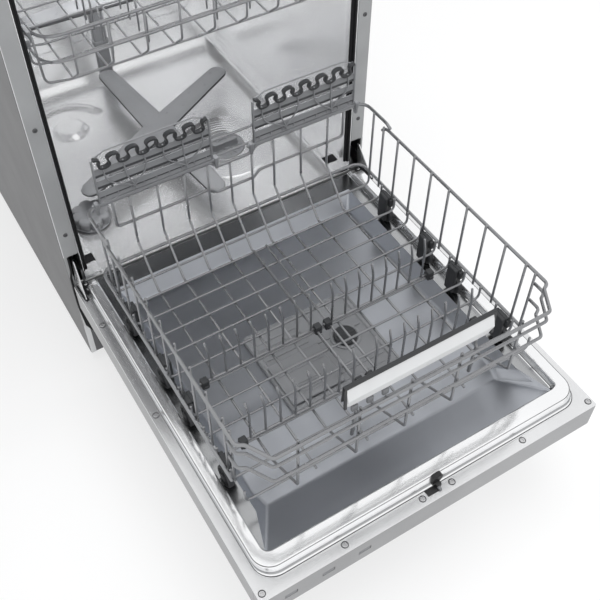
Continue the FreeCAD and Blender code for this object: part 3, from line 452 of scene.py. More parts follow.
def make_liner():
    top = [
        (0, 0, 2.5, 228.6, 228.6), (0, 0, 2.5, 229.5, 229.5), (0.5, 0.5, 2.5, 230, 230),
        (13.4, 15.6, 33, 230, 230), (15, 17.6, 32, 229.6, 229.4), (16, 19.4, 31, 229.8, 229.4, 230),
        (16.6, 22.4, 30.5, 232.4, 231.4, 230), (17.2, 24.6, 30, 236, 235, 230),
        (18, 27.2, 29, 240.8, 241, 230), (18.8, 28.8, 28.4, 243.2, 243.2, 230),
        (20.6, 31, 26.4, 244, 244, 230), (34.4, 49.4, 14, 244, 244, 230),
        (36.8, 52.4, 11.4, 242.6, 242.4, 230), (37.8, 53.8, 10.4, 238, 238, 230),
        (38.4, 55, 10, 229, 229), (40, 56.5, 9, LAND_Z, LAND_Z),
    ]
    under = [
        (40, 56.5, 9, 226.6, 226.6), (36.4, 53, 11, 226.6, 226.6), (36, 52, 11.4, 238, 238, 228.6),
        (34, 49, 14, 242.5, 242.5, 228.6), (21, 32, 26.4, 242.5, 242.5, 228.6),
        (19.4, 28.6, 28.6, 239.6, 239.4, 228.6), (18, 22.4, 30, 229, 229, 228.6),
        (13, 13.6, 33, SEAM_Z, SEAM_Z), (1.5, 1.5, 2.5, SEAM_Z, SEAM_Z),
    ]
    made = loft([liner_ring(*row) for row in top + under], closed=False, loop=True)
    close_ends(made)
    paint_rings(made[:6], 1)
    # A band of the bead's outer wall takes the darker steel: painted shade.
    paint_rings(made[6:8], 2)
    near, deep = FREE + 56, FREE + 118
    near_x, deep_x = 257, 237
    bead_faces = len(bm.faces)
    low_z = LAND_Z - 1.4
    twins([(258.5, DOOR_END), (258.5, near + 3), (near_x, near), (deep_x, deep), (deep_x, DOOR_END)],
          low_z, LAND_Z)
    prism([(-deep_x, DOOR_END), (-deep_x, LAND_END), (deep_x, LAND_END), (deep_x, DOOR_END)], low_z, LAND_Z)
    # The flat land beside the tray takes the darker steel too: painted shade.
    paint_from(bead_faces, 2)
    piece("door_liner_bead", "stainless", "door", "door_liner", sharp=50, even=True,
          others=("strip_steel", "painted_shade_wall_steel"))

    # Thin dark ribbons along the strip's crease, the bead's top edge and the bead's foot: painted shade lines
    # in the creases.
    shade_lines = ((16.1, 19.6, 31, 229.9, 0.6), (18.6, 28.6, 28.5, 243, 0.4), (38.5, 55.2, 10, 229.2, 0.6))
    for side_in, front_in, turn, z, wide in shade_lines:
        rows = ((-wide, z, 230), (0, z + 0.4, 230.2), (wide, z + 0.3, 230), (0, z - 0.4, 229.6))
        loft([liner_ring(side_in + out, front_in + out, turn, up, up, end) for out, up, end in rows],
             closed=False, loop=True)
    bmesh.ops.holes_fill(bm, edges=bm.edges, sides=4)
    piece("liner_painted_shade_lines", "screw_steel", "door", finish="dark_plastic", sharp=80)

    mouth = [(-near_x, near), (near_x, near), (deep_x, deep), (deep_x, LAND_END), (-deep_x, LAND_END),
             (-deep_x, deep)]
    floor = [(-212, near + 74), (212, near + 74), (221, near + 104), (221, LAND_END - 24),
             (-221, LAND_END - 24), (-221, near + 104)]
    grow = [(1.012 * x, y - 1.6 if y < LAND_END - 40 else y + 1.6) for x, y in mouth]
    levels = ((mouth, LAND_Z), (floor, DOOR_Z - 30), (floor, DOOR_Z - 31.4), (grow, low_z))
    made = loft([[(x, y, z) for x, y in plan] for plan, z in levels], loop=True)
    part_floors(made[1], made[2])
    bends = edges_around(made[1]) + [bm.edges.get(ends) for ends in zip(made[0], made[1])]
    bmesh.ops.bevel(bm, geom=bends, offset=4, segments=4, affect="EDGES", profile=0.5)
    bmesh.ops.remove_doubles(bm, verts=bm.verts, dist=0.01)
    # The sunken tray takes the darker steel: a painted dark reflection.
    piece("door_liner_tray", "stainless", "door", sharp=60, finish="painted_reflection_tray_steel", even=True)


def make_door_outside():
    low_y = FREE + 20.4
    rows = ((0, 0, SEAM_Z), (0, 0, DOOR_LOW + 3), (1, 0, DOOR_LOW + 0.8), (3, 0, DOOR_LOW),
            (3, 2, DOOR_LOW + 1.4), (1.4, 1.4, DOOR_LOW + 4), (1.4, 1.4, SEAM_Z))
    made = shell([(a - DOOR_X, DOOR_X - a, low_y + b, DOOR_END - b, 2, z) for a, b, z in rows], loop=True)
    part_floors(made[3], made[4])
    piece("door_outer_skin", "brushed_panel", "door", "door_outer_panel", even=True)
    block((-DOOR_X, FREE, DOOR_LOW), (DOOR_X, FREE + 20, SEAM_Z), 2.2, 3)
    buttons = (("power_button", -250), ("program_button", -190), ("start_button", -130))
    low_z, high_z = 197.3, 206.3
    cuts = [((0, 0, z), (0, 0, 1)) for z in (low_z, high_z)]
    cuts += [((x + edge, 0, 0), (1, 0, 0)) for _, x in buttons for edge in (-10, 10)]
    for place, facing in cuts:
        whole = bm.verts[:] + bm.edges[:] + bm.faces[:]
        bmesh.ops.bisect_plane(bm, geom=whole, plane_co=place, plane_no=facing)
    bm.normal_update()
    for _, x in buttons:
        for face in list(bm.faces):
            middle = face.calc_center_median()
            if face.normal.y < -0.9 and abs(middle.x - x) < 9 and low_z < middle.z < high_z:
                sink(list(face.verts), (0, 15, 0))
                bm.faces.remove(face)
    piece("control_panel", "brushed_panel", "door", "control_strip", even=True)
    for label, x in buttons:
        block((x - 9.7, FREE, low_z + 0.3), (x + 9.7, FREE + 12, high_z - 0.3), 1.2, 3)
        piece(label + "_key", "grey_plastic", label, label)


def make_door_fittings():
    edge_x = 289
    spots = [(side * x, FREE + 11) for side in (-1, 1) for x in (26, 158, edge_x)]
    spots += [(side * edge_x, FREE + y) for side in (-1, 1) for y in (334, 537)]
    for x, y in spots:
        cross_screw((x, y, DOOR_Z), "z", 1, 4)
    piece("liner_screw_heads", "screw_steel", "door", "liner_screws")
    # Dark rings around the screw heads: painted shade in their recesses.
    for x, y in spots:
        lathe([(4.3, 0), (4.4, 0.5), (5, 0.7), (5.5, 0)], (x, y, DOOR_Z), "z", 32, loop=True)
    piece("screw_recess_shade_rings", "screw_steel", "door", finish="dark_plastic")
    hook = [(-1.6, 229), (-1.6, 238), (0.4, 243.6), (4, 245.6), (13.6, 246), (16, 243.6), (15, 236),
            (11, 231), (9, 229)]
    prism(hook, FREE + 21, FREE + 29.6, "xzy")
    block((1, FREE + 14, DOOR_Z - 0.4), (10, FREE + 23, DOOR_Z + 7), 1.4, 2)
    block((-17, FREE + 9, DOOR_Z - 0.4), (4, FREE + 19, DOOR_Z + 0.5), 0.3)
    piece("latch_parts", "black_plastic", "door", "door_latch")
    block((2, FREE + 7.6, DOOR_Z - 0.3), (6.4, FREE + 17, DOOR_Z + 3.4), 1, 2)
    piece("latch_lug", "grey_plastic", "door")


def make_dispenser():
    middle = FREE + 325
    top = DOOR_Z - 22
    rows = ((100, 85, 9, -14), (100, 85, 9, -2.4), (98.4, 83.4, 8, -0.4), (92, 77, 7, 0), (90, 75, 6, -2),
            (90, 75, 6, -14))
    shell([(-u, u, middle - v, middle + v, corner, top + up) for u, v, corner, up in rows], loop=True)
    block((-91, middle - 76, top - 6), (91, middle + 76, top - 2.2), 0.6)
    block((2, middle + 10, top - 3), (86, middle + 14, top - 0.6), 0.8)
    block((2, middle - 60, top - 3), (86, middle - 56, top - 0.6), 0.8)
    cap_place = (50, middle, top)
    lathe([(26, -3), (26, -0.6), (24.5, 0.2), (22, 0.2), (21, -0.8), (21, -3)], cap_place, loop=True)
    for k in range(4):
        block((-86, middle + 22 + 12 * k, top - 3), (-8, middle + 26 + 12 * k, top - 1), 0.8)
    piece("dispenser_case", "grey_plastic", "door", "dispenser_body")
    low_y = middle - 75
    block((-95, low_y, top + 0.3), (1, low_y + 84, top + 4.3), 1.8, 3)
    for k in range(5):
        y = low_y + 10 + 5 * k
        block((-70 + 0.4 * k, y, top + 3.8), (-24 - 0.4 * k, y + 2.4, top + 5.1), 0.5)
    block((-89, low_y + 56, top + 3.6), (-5, low_y + 58, top + 5), 0.5)
    piece("dispenser_cover", "grey_plastic", "dispenser_lid", "dispenser_lid")
    lathe([(14.6, -4.6), (14.6, 0.3), (19.6, 0.3), (19.9, 2.4), (18.6, 4.2), (0.5, 4.6)], cap_place)
    block((34, middle - 2.4, top + 3), (66, middle + 2.4, top + 5.2), 1, 2)
    piece("rinse_aid_knob", "dark_plastic", "rinse_aid_cap", "rinse_aid_cap")


# Lower rack
def rim_front(z):
    """The right half of a rim's front: its stepped corner and the start of the straight run."""
    x = RACK_X + RIM_OUT
    step_y = FRONT - 524
    return [(x, step_y, z), (x - 11, step_y - 6, z), (x - 31.5, RACK_FRONT - RIM_OUT, z)]


def make_basket():
    wire, rim = 2.1, 2.8
    x = RACK_X + RIM_OUT
    rear_y = RACK_REAR + RIM_OUT
    high = RIM_Z + 11
    lead = [(x - 1, rear_y - 58, RIM_Z - 9), (x, rear_y - 66, RIM_Z - 2), (x, rear_y - 72, RIM_Z)]
    tube(across(lead + rim_front(RIM_Z)), rim, 9)
    for drop in (21, 58):
        tube(across([(x, SIDE_END, RIM_Z - drop)] + rim_front(RIM_Z - drop)), rim - 0.2, 9)
    back = [(x, rear_y - 78, high - 4), (x, rear_y - 66, high), (x, rear_y, high), (42, rear_y, high),
            (32, rear_y, high - 13)]
    tube(across(back), rim, 20)
    low = [(213, rear_y, high), (213, rear_y, RIM_Z - 45), (47, rear_y, RIM_Z - 45), (35, rear_y, RIM_Z - 57)]
    tube(across(low), rim - 0.3, 8)
    for reach, up, dip in ((206, 474, 464), (196, 439, 431)):
        y = rear_y + 4.4
        rail = [(reach, rear_y, high), (reach, y, high + 6), (reach, y, up), (47, y, up), (37, y, dip)]
        tube(across(rail), wire, 7)
    tube(across([(x, SIDE_END, LOW_BAND), (x, rear_y, LOW_BAND)]), rim, 24)
    for y in CROSS_Y:
        tube(across([(-RACK_X, y, LOW_BAND + 4), (-RACK_X, y, RACK_FLOOR)]), wire, 12)
    for side in (-1, 1):
        for y in SIDE_Y:
            top = RIM_Z + 5 if y < rear_y - 60 else high + 2
            tube([(side * RACK_X, y, LOW_BAND - 5), (side * RACK_X, y, top)], wire, 10)
        tube([(side * (x - 4), SIDE_END, LOW_BAND - 4), (side * (x - 4), SIDE_END, RIM_Z + 2)], wire, 4)
    low_z = RACK_FLOOR - 2 * wire - 0.2
    for i, lx in enumerate((-186, -139, -92, -51, -10, 30, 72, 125, 178)):
        top = high - 1 if abs(lx) > 30 else high - 14
        if i % 2 == 0:
            front = [(lx, RACK_FRONT, RIM_Z + 4), (lx, RACK_FRONT, DOOR_Z + 75), (lx, RACK_FRONT + 74, low_z)]
        else:
            front = [(lx, CROSS_Y[0] - 5, low_z)]
        rear = [(lx, RACK_REAR - 60, low_z), (lx, RACK_REAR, DOOR_Z + 96), (lx, RACK_REAR, top)]
        tube(front + rear, wire, 6)
    for lx in (-12, 12):
        tube([(lx, CROSS_Y[1], low_z + 9), (lx, CROSS_Y[10], low_z + 9)], wire, 4)
    piece("rack_wires", "silver_wire", "lower_rack", "lower_rack_basket", sharp=60)


def make_tines():
    for name, side, first in (("left", -1, 22), ("right", 1, 17.4)):
        for place, y in (("front", CROSS_Y[2]), ("mid", CROSS_Y[5])):
            tube([(side * 2.2, y, TINE_Z), (side * 216.8, y, TINE_Z)], 2.2, 4)
            for k in range(8):
                x = side * (first + 25 * k)
                tube([(x, y, TINE_Z), (x, y, TINE_Z + 62), (x - 5, y, TINE_Z + 93)], 1.9, 30)
            label = f"{place}_{name}_tines"
            piece(label + "_wires", "silver_wire", label, label, sharp=60)


def make_clips():
    for y in WHEEL_Y:
        pair((238.3, y - 11, 237.3), (245.3, y + 11, BAND_Z + 10), 2.2, 3)
        pair((244.5, y - 11, BAND_Z - 10), (252.7, y + 11, BAND_Z + 10), 1.6, 2)
        for shift in (-13.5, 13.5):
            pair((244.5, y + shift - 3, BAND_Z - 8), (252.7, y + shift + 3, BAND_Z + 8), 1.4, 2)
        for side in (-1, 1):
            axle = ((3.9, 245), (3.9, 255.2), (6.8, 255.3), (6.4, 256.6), (3, 257))
            lathe([(r, side * x) for r, x in axle], (0, y, WHEEL_Z), "x", 20)
    for y in (CROSS_Y[2], CROSS_Y[5]):
        for x in (9.5, 209.5):
            pair((x - 6, y - 6, RACK_FLOOR - 3), (x + 6, y + 6, TINE_Z + 6), 1.8, 3)
            pair((x - 4, y - 9, RACK_FLOOR + 1), (x + 4, y + 9, RACK_FLOOR + 6), 1.2, 2)
    piece("rack_clip_set", "dark_plastic", "lower_rack", "rack_clips")
    y = SHELF_Y
    for x in (28.5, 234):
        pair((x, y - 5, RIM_Z + 6), (x + 7.5, y + 5, RIM_Z + 19), 2, 3)
        pair((x + 1, y - 3.6, RIM_Z - 4), (x + 6.5, y + 3.6, RIM_Z + 8), 1.2, 2)
    piece("shelf_hooks", "grey_plastic", "lower_rack")


def make_wheels():
    tyre = ((4.1, 245.8), (4.1, 254.6), (7, 254.6), (7, 251.6), (13.4, 251), (14.2, 254), (17, 254.6),
            (18, 253.4), (18, 247), (17, 245.8))
    for number, y in enumerate(WHEEL_Y, 1):
        middle = (0, y, WHEEL_Z)
        for side in (-1, 1):
            lathe([(r, side * x) for r, x in tyre], middle, "x", 40, loop=True)
            spokes(6, middle, (6.4, side * 252.4), (14, side * 252.4), 1.2, "x")
        label = f"wheel_pair_{number}"
        piece(label + "_rollers", "dark_plastic", label, label)


def make_shelf(side):
    """A lattice that folds down from the rear rim: wavy glass rests on top, slats, ribs and curved braces."""
    label = "right_cup_shelf" if side > 0 else "left_cup_shelf"
    y = SHELF_Y
    z = RIM_Z + 14
    near, wide, high = 37.5, 195.0, 96.0
    left = near if side > 0 else -near - wide
    right = left + wide
    tube([(left - 12, y, z), (right + 12, y, z)], 2.8, 1)
    for low, tall in ((5, 5), (14, 9), (35, 9), (57, 9)):
        slat = [(y - 2, z + low), (y - 0.4, z + low), (y + 1.6, z + low + tall), (y, z + low + tall)]
        prism(slat, left, right, "yzx")
        if low > 10:
            # A dark strip under each upper slat: painted shade in the gap below it.
            made = len(bm.faces)
            foot = z + low - 6.4
            under = [(y + 0.2, foot), (y + 1.2, foot), (y + 1.2, z + low + 2), (y + 0.2, z + low + 2)]
            prism(under, left, right, "yzx")
            paint_from(made, 1)
    for start, foot, end in ((1, 0.31, 5), (7, 0.76, 11)):
        down = (left + wide * foot, y - 2.4, z + 13)
        for dip, bulge in ((start, -0.02), (start + 2, 0), (end, 0.035)):
            top_x = left + wide * dip / 12
            mid_x = top_x + wide * bulge + (down[0] - top_x) * 0.12
            tube([(top_x, y - 2.4, z + 70), (mid_x, y - 2.4, z + 40), down], 1.3, 30)
        tube([down, (down[0] + 1, y - 2.4, z + 6.4)], 1.3, 1)
    for k in range(9):
        x = left + wide * (k + 0.5) / 9
        block((x - 0.8, y - 1.8, z + 5), (x + 0.8, y - 0.2, z + 17), 0.3)
    hoop = [(left + 1, y + 2, z + 60), (left + 1.6, y + 2, z + 84), (left + 26, y + 2, z + 94.6),
            (right - 26, y + 2, z + 94.6), (right - 1.6, y + 2, z + 84), (right - 1, y + 2, z + 60)]
    tube(hoop, 1.2, 16)
    for x in (left + 1.4, right - 1.4):
        block((x - 1.4, y - 3, z + 5), (x + 1.4, y + 2.8, z + high - 12), 0.8)
        block((x - 1.4, y + 0.3, z - 2), (x + 1.4, y + 2.8, z + 8), 0.8)
    piece(label + "_lattice", "grey_plastic", label, label, others=("painted_shade_plastic",))
    wave = []
    steps = 120
    for k in range(steps + 1):
        t = k / steps
        turn = 2 * pi * 6 * t
        x = left + 4 + (wide - 8) * t + 4.2 * sin(2 * turn)
        wave.append((x, z + 77 + 9.6 * cos(turn)))
    rings = []
    for i, (x, up) in enumerate(wave):
        before, after = wave[max(i - 1, 0)], wave[min(i + 1, steps)]
        along = Vector((after[0] - before[0], after[1] - before[1])).normalized() * 1.5
        corners = ((-1, -4.6), (1, -4.6), (1, 3), (-1, 3))
        rings.append([(x + s * along.y, y + depth, up - s * along.x) for s, depth in corners])
    loft(rings, cap=True)
    piece(label + "_rests", "dark_plastic", label)


def make_handle():
    low_z, ridge_z, high_z = RIM_Z + 18.4, RIM_Z + 39, RIM_Z + 59
    half = [(-115.8, 6), (-115.2, 4), (-113.4, 2.2), (-110.4, 0.9), (-105.8, 0.1), (-60, 0)]
    rings = []
    for x, lift in across(half):
        low = low_z + lift
        section = [(-535, low), (-535.8, low + 0.4), (-540.9, ridge_z - 0.6), (-540.9, ridge_z + 0.6),
                   (-534.6, high_z + 1.6), (-534.2, high_z + 2), (-532.6, high_z + 2), (-534.6, ridge_z),
                   (-532, low)]
        rings.append([(x, y, z) for y, z in section])
    loft(rings, cap=True)
    piece("handle_plate", "pale_plastic", "lower_rack", "rack_handle", sharp=16, even=True)
    cap = [(-536.4, high_z + 1.4), (-536.2, high_z + 5), (-535.2, high_z + 6.4), (-532.2, high_z + 6.6),
           (-531, high_z + 5.4), (-530.8, high_z - 1.6), (-532.2, high_z - 1.6), (-532.4, high_z + 2.2),
           (-534.7, high_z + 2.2), (-534.8, high_z + 1.4)]
    prism(cap, -119, 119, "yzx")
    for side in (-1, 1):
        front = [(-538.6, low_z + 3), (-536.2, high_z + 4), (-533.4, high_z + 4), (-535.4, low_z + 3)]
        rear = [(-531, low_z + 12), (-532.8, high_z + 4), (-531.2, high_z + 4), (-528.6, low_z + 12)]
        for fin in (front, rear):
            prism(fin, side * 115.6, side * 119, "yzx")
    piece("handle_grip_strip", "dark_plastic", "lower_rack", "handle_grip")
    for x in (-100, 97):
        tube([(x, -531.4, RIM_Z + 46.8), (x, -531.4, RIM_Z + 6), (x + 4, RACK_FRONT + 3.6, RIM_Z - 6),
              (x, RACK_FRONT + 3.6, RIM_Z - 60)], 2.6, 8)
    piece("handle_legs", "silver_wire", "lower_rack", sharp=60)
    for x in (-100, -76, -52):
        block((x - 5, -535.6, RIM_Z + 1), (x + 5, -531, RIM_Z + 13), 1.5)
    piece("handle_clips", "grey_plastic", "lower_rack")


# Cabinet
def make_cabinet():
    outer = [(296, 25), (297.2, 25.2), (298.2, 25.9), (298.8, 27), (299, 28.4), (299, 621), (297.6, 623.6),
             (280, 623.7)]
    inner = [(280, 622.6), (296.4, 622.4), (297.8, 620.6), (297.8, 28.6), (297.2, 27), (296, 26.2)]
    for side, label in ((-1, "left_side_panel"), (1, "right_side_panel")):
        prism([(side * x, y) for x, y in outer + inner], 29, TOP_Z)
        piece(label + "_sheet", "grey_paint", "cabinet", label, sharp=40, even=True)
    rows = ((298, 825.6, 3, 26.2), (298.4, 825.8, 3, 25.6), (297.6, 825, 3, 24.8), (274, 820, 12, 24.8),
            (272.6, 818.6, 12, 25.2), (272, 818, 12, 27), (273.4, 819.4, 12, 27), (274, 820, 12, 26.2))
    foot = 292
    rings = [rounded(arch(x, depth, top, foot), corner) for x, top, corner, depth in rows]
    made = loft(rings, closed=False, loop=True)
    close_ends(made)
    # The flange's narrow outer bevel takes the bright strip steel: a painted highlight along its edge.
    paint_rings(made[1:3], 1)
    pair((291.4, 24.8, 110), (298.4, 26.2, foot), 0.4, 2)
    prism(across([(291, 169), (291, 184), (274, 190), (274, 221)]), 25, 26.2, "xzy")
    # The flange and its lower posts take the lighter grey: painted light.
    piece("front_frame_flange", "grey_paint", "cabinet", "front_frame", sharp=40, finish="painted_light_frame_grey",
          others=("strip_steel",), even=True)
    # The skirt's rounded corner posts take a pale finish over the grey paint: a painted highlight where the
    # corners catch light.
    post = [(298.6, 27), (298.4, 25.2), (297.4, 24.6), (290, 24.6), (288.8, 25), (288.8, 25.9), (296, 26.2),
            (297, 27)]
    twins(post, 29.2, 168)
    piece("skirt_corner_posts", "grey_paint", "cabinet", finish="pale_plastic", sharp=60, even=True)
    rows = ((296, 30, 168.6, 4, 25.9), (296.8, 29.2, 169, 4, 25.3), (294, 32, 166.4, 3, 25),
            (270, 52, 148, 6, 25), (269, 53, 147, 6, 25.9), (269, 53, 147, 6, 26.9),
            (296, 30, 168.6, 4, 26.9))
    shell([(-x, x, *rest) for x, *rest in rows], "xzy", loop=True)
    shell([(-269.5, 269.5, 52.5, 147.5, 6, depth) for depth in (25.9, 26.9)], "xzy", cap=True)
    piece("front_skirt_sheet", "grey_paint", "cabinet", "front_skirt", even=True)
    for x in (-284.9, 284.9):
        for z in (341, 556, 771):
            cross_screw((x, 24.9, z), "y", -1, 3.9)
    piece("frame_screw_heads", "screw_steel", "cabinet", "frame_screws", finish="grey_paint")
    rows = ((0.4, TOP_Z), (0, 827.4), (0, 845.4), (0.8, 847.4), (2.6, BOARD_TOP))
    shell([(a - HALF_X, HALF_X - a, FRONT + a, BACK - a, 3, z) for a, z in rows], cap=True)
    lid = max(bm.faces, key=lambda f: f.calc_center_median().z)
    edges = list(lid.edges)
    bm.faces.remove(lid)
    for x in (-250, 250):
        rim = [bm.verts.new((x + u, 40 + v, BOARD_TOP)) for u, v in circle(2.5, 20)]
        sink(rim, (0, 0, -18))
        edges += edges_around(rim)
    bmesh.ops.triangle_fill(bm, edges=edges, use_beauty=True, normal=(0, 0, 1))
    piece("top_board_panel", "top_board", "cabinet", "top_panel", sharp=20)
    flat_y, groove_y = 624.6, 620.6
    sheet = [(-297.6, flat_y)]
    for x in (-216, -129, -43, 43, 129, 216):
        sheet += [(x - 15, flat_y), (x - 9, groove_y), (x + 9, groove_y), (x + 15, flat_y)]
    sheet.append((297.6, flat_y))
    prism(sheet + [(x, y - 0.9) for x, y in reversed(sheet)], 129, 825.6)
    piece("rear_panel_sheet", "galvanised", "cabinet", "rear_panel", sharp=20)
    for x in (-285, -86, 86, 285):
        for z in (142, 477, 812):
            lathe([(5.6, 624), (5.6, 624.7), (4.4, 625), (1.6, 625), (1.2, 624.4), (0.3, 624.4)],
                  (x, 0, z), "y", 20)
    piece("rear_panel_screws", "screw_steel", "cabinet")


def make_seal():
    foot, bend = 241, 24
    for inset, depth, radius in ((2.2, 30.2, 2.1), (6.6, 33.4, 2.9), (2.2, 35.4, 2.1)):
        tube(arch(TUB_X - inset, depth, TUB_TOP - inset, foot), radius, bend)
    rings = []
    for inset, depth in ((0.2, 29), (3, 28.4), (5, 32), (3, 37.4), (0.2, 37)):
        rings.append(rounded(arch(TUB_X - inset, depth, TUB_TOP - inset, foot), bend - inset))
    close_ends(loft(rings, closed=False, loop=True))
    piece("seal_lips", "black_rubber", "cabinet", "door_seal")


def make_hinges():
    outer = [(293.4, 291), (294.2, 257), (298, 241), (298.6, 205), (298.6, 162), (294.6, 112), (286, 92)]
    inner = [(290.6, 289), (291.2, 257), (294, 243), (295, 205), (291, 164), (286, 128), (282.4, 94)]
    for side in (-1, 1):
        rings = []
        for (x0, z0), (x1, z1) in zip(outer, inner):
            ring = ((x0, 25, z0), (x0, 23.2, z0), (x1, 22.6, z1), (x1, 25, z1))
            rings.append([(side * x, y, z) for x, y, z in ring])
        loft(rings, cap=True)
    for low, high in (((273.4, 66, 184), (297, 67, 292)), ((273.4, 27.4, 184), (274.2, 66, 292)),
                      ((296.2, 27.4, 184), (297, 66, 292)), ((273.4, 27.4, 291), (297, 66, 292))):
        pair(low, high, 0.2, 1)
    pair((240.5, 55, 226), (265, 75, LAND_Z + 0.2), 0.1, 1)
    piece("hinge_boot", "black_rubber", "cabinet", "hinge_covers", sharp=60)

    gusset = [(23, 283, 287), (23, 231, 291), (20, 229.6, 291.1), (-23, 229.6, 291.1), (-24, 231.4, 291),
              (17, 284, 287)]
    for side in (-1, 1):
        loft([[(side * (x - thick), y, z) for y, z, x in gusset] for thick in (0, 1.8)], cap=True)
    piece("hinge_gussets", "screw_steel", "door", finish="strip_steel", even=True)
    trim = [(293.4, DOOR_END), (293, -22), (291, -28), (286, -26), (286, DOOR_END)]
    twins(trim, DOOR_Z - 0.4, DOOR_Z + 0.9)
    pair((273.6, -14, DOOR_Z - 0.4), (285, 11, DOOR_Z + 6), 1.6, 2)
    piece("hinge_trim", "black_rubber", "door")
    for side in (-1, 1):
        for y in (-8, 5):
            lathe([(3.1, 0), (3.1, 0.8), (2.2, 1.8), (0.6, 2.1)], (side * 279, y, DOOR_Z + 5.8), "z", 20)
    piece("hinge_rivets", "screw_steel", "door")


# Tub
def make_tub():
    inside = [
        (TUB_FRONT, 0, 12), (TUB_FRONT + 20, 0, 14), (TUB_FRONT + 26, 2.5, 16), (TUB_FRONT + 30, 2.5, 16),
        (TUB_FRONT + 36, 0, 18), (TUB_BACK - 46, 0, 30), (TUB_BACK - 14, 1.4, 32), (TUB_BACK - 4, 7, 34),
        (TUB_BACK - 1.5, 16, 34),
    ]
    rings = []
    for depth, inset, corner in inside:
        rings.append(rounded(arch(TUB_X - inset, depth, TUB_TOP - inset, 220), corner))
    made = loft(rings, closed=False)
    # Faces near the top of the tub take the near-black steel: painted shade on the ceiling.
    for face in bm.faces:
        if min(v.co.z for v in face.verts) > TUB_TOP - 60:
            face.material_index = 1
    bm.faces.new(made[-1])
    bmesh.ops.recalc_face_normals(bm, faces=bm.faces)
    bmesh.ops.solidify(bm, geom=list(bm.faces), thickness=1.0)
    piece("tub_skin", "stainless", "cabinet", "tub_wrapper", "tub_back", sharp=40, finish="tub_steel",
          others=("painted_shade_ceiling_steel",), even=True)
    for u0, u1, v0, v1 in ((-215, -20, 300, 540), (20, 215, 300, 540), (-215, 215, 590, 770)):
        rows = ((0, 26, 1.6), (5, 22, 4.6), (9, 18, 5.2))
        levels = [(u0 + a, u1 - a, v0 + a, v1 - a, corner, TUB_BACK - up) for a, corner, up in rows]
        shell(levels, "xzy", cap=True)
    piece("tub_back_pressings", "stainless", "cabinet", sharp=40, finish="tub_steel")


def basin_height(x, y):
    """The pressed shape of the tub's floor: rounded edges, a round dimple and an arc-shaped rib."""
    edge = min(TUB_X - abs(x), y - TUB_FRONT, TUB_BACK - y)
    rise = 26 * max(0.0, 1 - edge / 30) ** 2 if edge < 30 else 0.0
    if y < TUB_FRONT + 30:
        rise = min(rise, 26 * max(0.0, 1 - (y - TUB_FRONT) / 26) ** 1.5)
    reach = hypot(x + 136, y - 446)
    rise += 9 * smooth(36, 27, reach)
    if y > 466:
        rise += 5 * smooth(66, 72, reach) * smooth(86, 80, reach) * smooth(466, 484, y)
    return TUB_FLOOR + rise


def make_tub_floor():
    steps = 136
    rows = []
    for j in range(steps + 1):
        y = TUB_FRONT + (TUB_BACK - TUB_FRONT) * j / steps
        places = [-TUB_X + 2 * TUB_X * i / steps for i in range(steps + 1)]
        rows.append([(x, y, basin_height(x, y)) for x in places])
    under = [[(x, y, z - 1.4) for x, y, z in row] for row in reversed(rows)]
    made = loft(rows + under, closed=False, loop=True)
    for end in (0, -1):
        edge = [row[end] for row in made]
        for j in range(steps):
            bm.faces.new((edge[j], edge[j + 1], edge[-2 - j], edge[-1 - j]))
    piece("tub_floor_pan", "stainless", "cabinet", "tub_floor", sharp=40, finish="tub_steel")


def make_spray_arms():
    arms = (("lower_spray_arm", 243.4, 225, (28, 95)), ("middle_spray_arm", 542, 215, (0,)))
    for label, z, radius, angles in arms:
        for angle in angles:
            turn = Matrix.Rotation(radians(angle), 3, "Z")
            stations = across([(0.4 - radius, 0.36, 0.3), (5 - radius, 0.7, 0.7), (16 - radius, 0.98, 1),
                               (-60, 1.26, 1)])
            stations.insert(4, (0, 1.36, 1))
            rings = []
            for s, width, thick in stations:
                ring = []
                for u, w in circle(1, 16):
                    spot = turn @ Vector((s, 19.6 * width * copysign(abs(u) ** 0.7, u), 0))
                    up = 6.3 * thick * copysign(abs(w) ** 0.8, w)
                    ring.append((spot.x, TUB_MID + spot.y, z + 6.5 + up))
                rings.append(ring)
            loft(rings, cap=True)
            # The arm's upright sides take the near-black plastic: painted shade.
            bm.normal_update()
            for face in bm.faces:
                if abs(face.normal.z) < 0.5:
                    face.material_index = 1
            for k in (-5, -4, -3, -2, -1, 1, 2, 3, 4, 5):
                spot = turn @ Vector((radius * 0.17 * k, 6 if k % 2 else -6, 0))
                place = (spot.x, TUB_MID + spot.y, z + 12.3)
                lathe([(3.4, -1), (3.2, 0.4), (2.1, 0.6), (1.8, -0.6), (0.3, -0.7)], place, "z", 16)
        piece(label + "_blades", "grey_plastic", label, label, others=("painted_shade_plastic",))


def make_salt_cap():
    x, y = -200, 181
    rows = ((36.6, 199.4, 0), (36.6, 201.4, 0), (35, 202.4, 2), (36.4, 204, 6), (36.8, 206, 7),
            (36.8, 213, 7), (35.4, 217, 6.4), (31, 218.9, 4), (17, 218.6, 0), (13, 215.4, 0), (4, 214.6, 0))
    rings = []
    for radius, z, lobes in rows:
        ring = []
        for k in range(96):
            a = 2 * pi * k / 96
            r = radius - lobes * (1 - abs(cos(4 * a)) ** 0.6)
            ring.append((x + r * cos(a), y + r * sin(a), z))
        rings.append(ring)
    loft(rings, cap=True)
    piece("salt_cap_knob", "grey_plastic", "salt_cap", "salt_cap", sharp=50)


def make_filter():
    middle = (FILTER_X, FILTER_Y, 0)
    lathe([(94.6, 196.1), (94.6, 197.6), (92.6, 198.9), (86, 198.2), (46, 197.8), (42.6, 198.8),
           (40.8, 198.6), (40.8, 196.1)], middle, "z", 64, loop=True)
    for radius in (52, 59, 66, 73, 80):
        rib = [(radius, 197.4), (radius + 0.2, 198.6), (radius + 1.6, 198.6), (radius + 1.8, 197.4)]
        lathe(rib, middle, "z", 64, loop=True)
    piece("filter_disc", "stainless", "cabinet", "filter_plate")


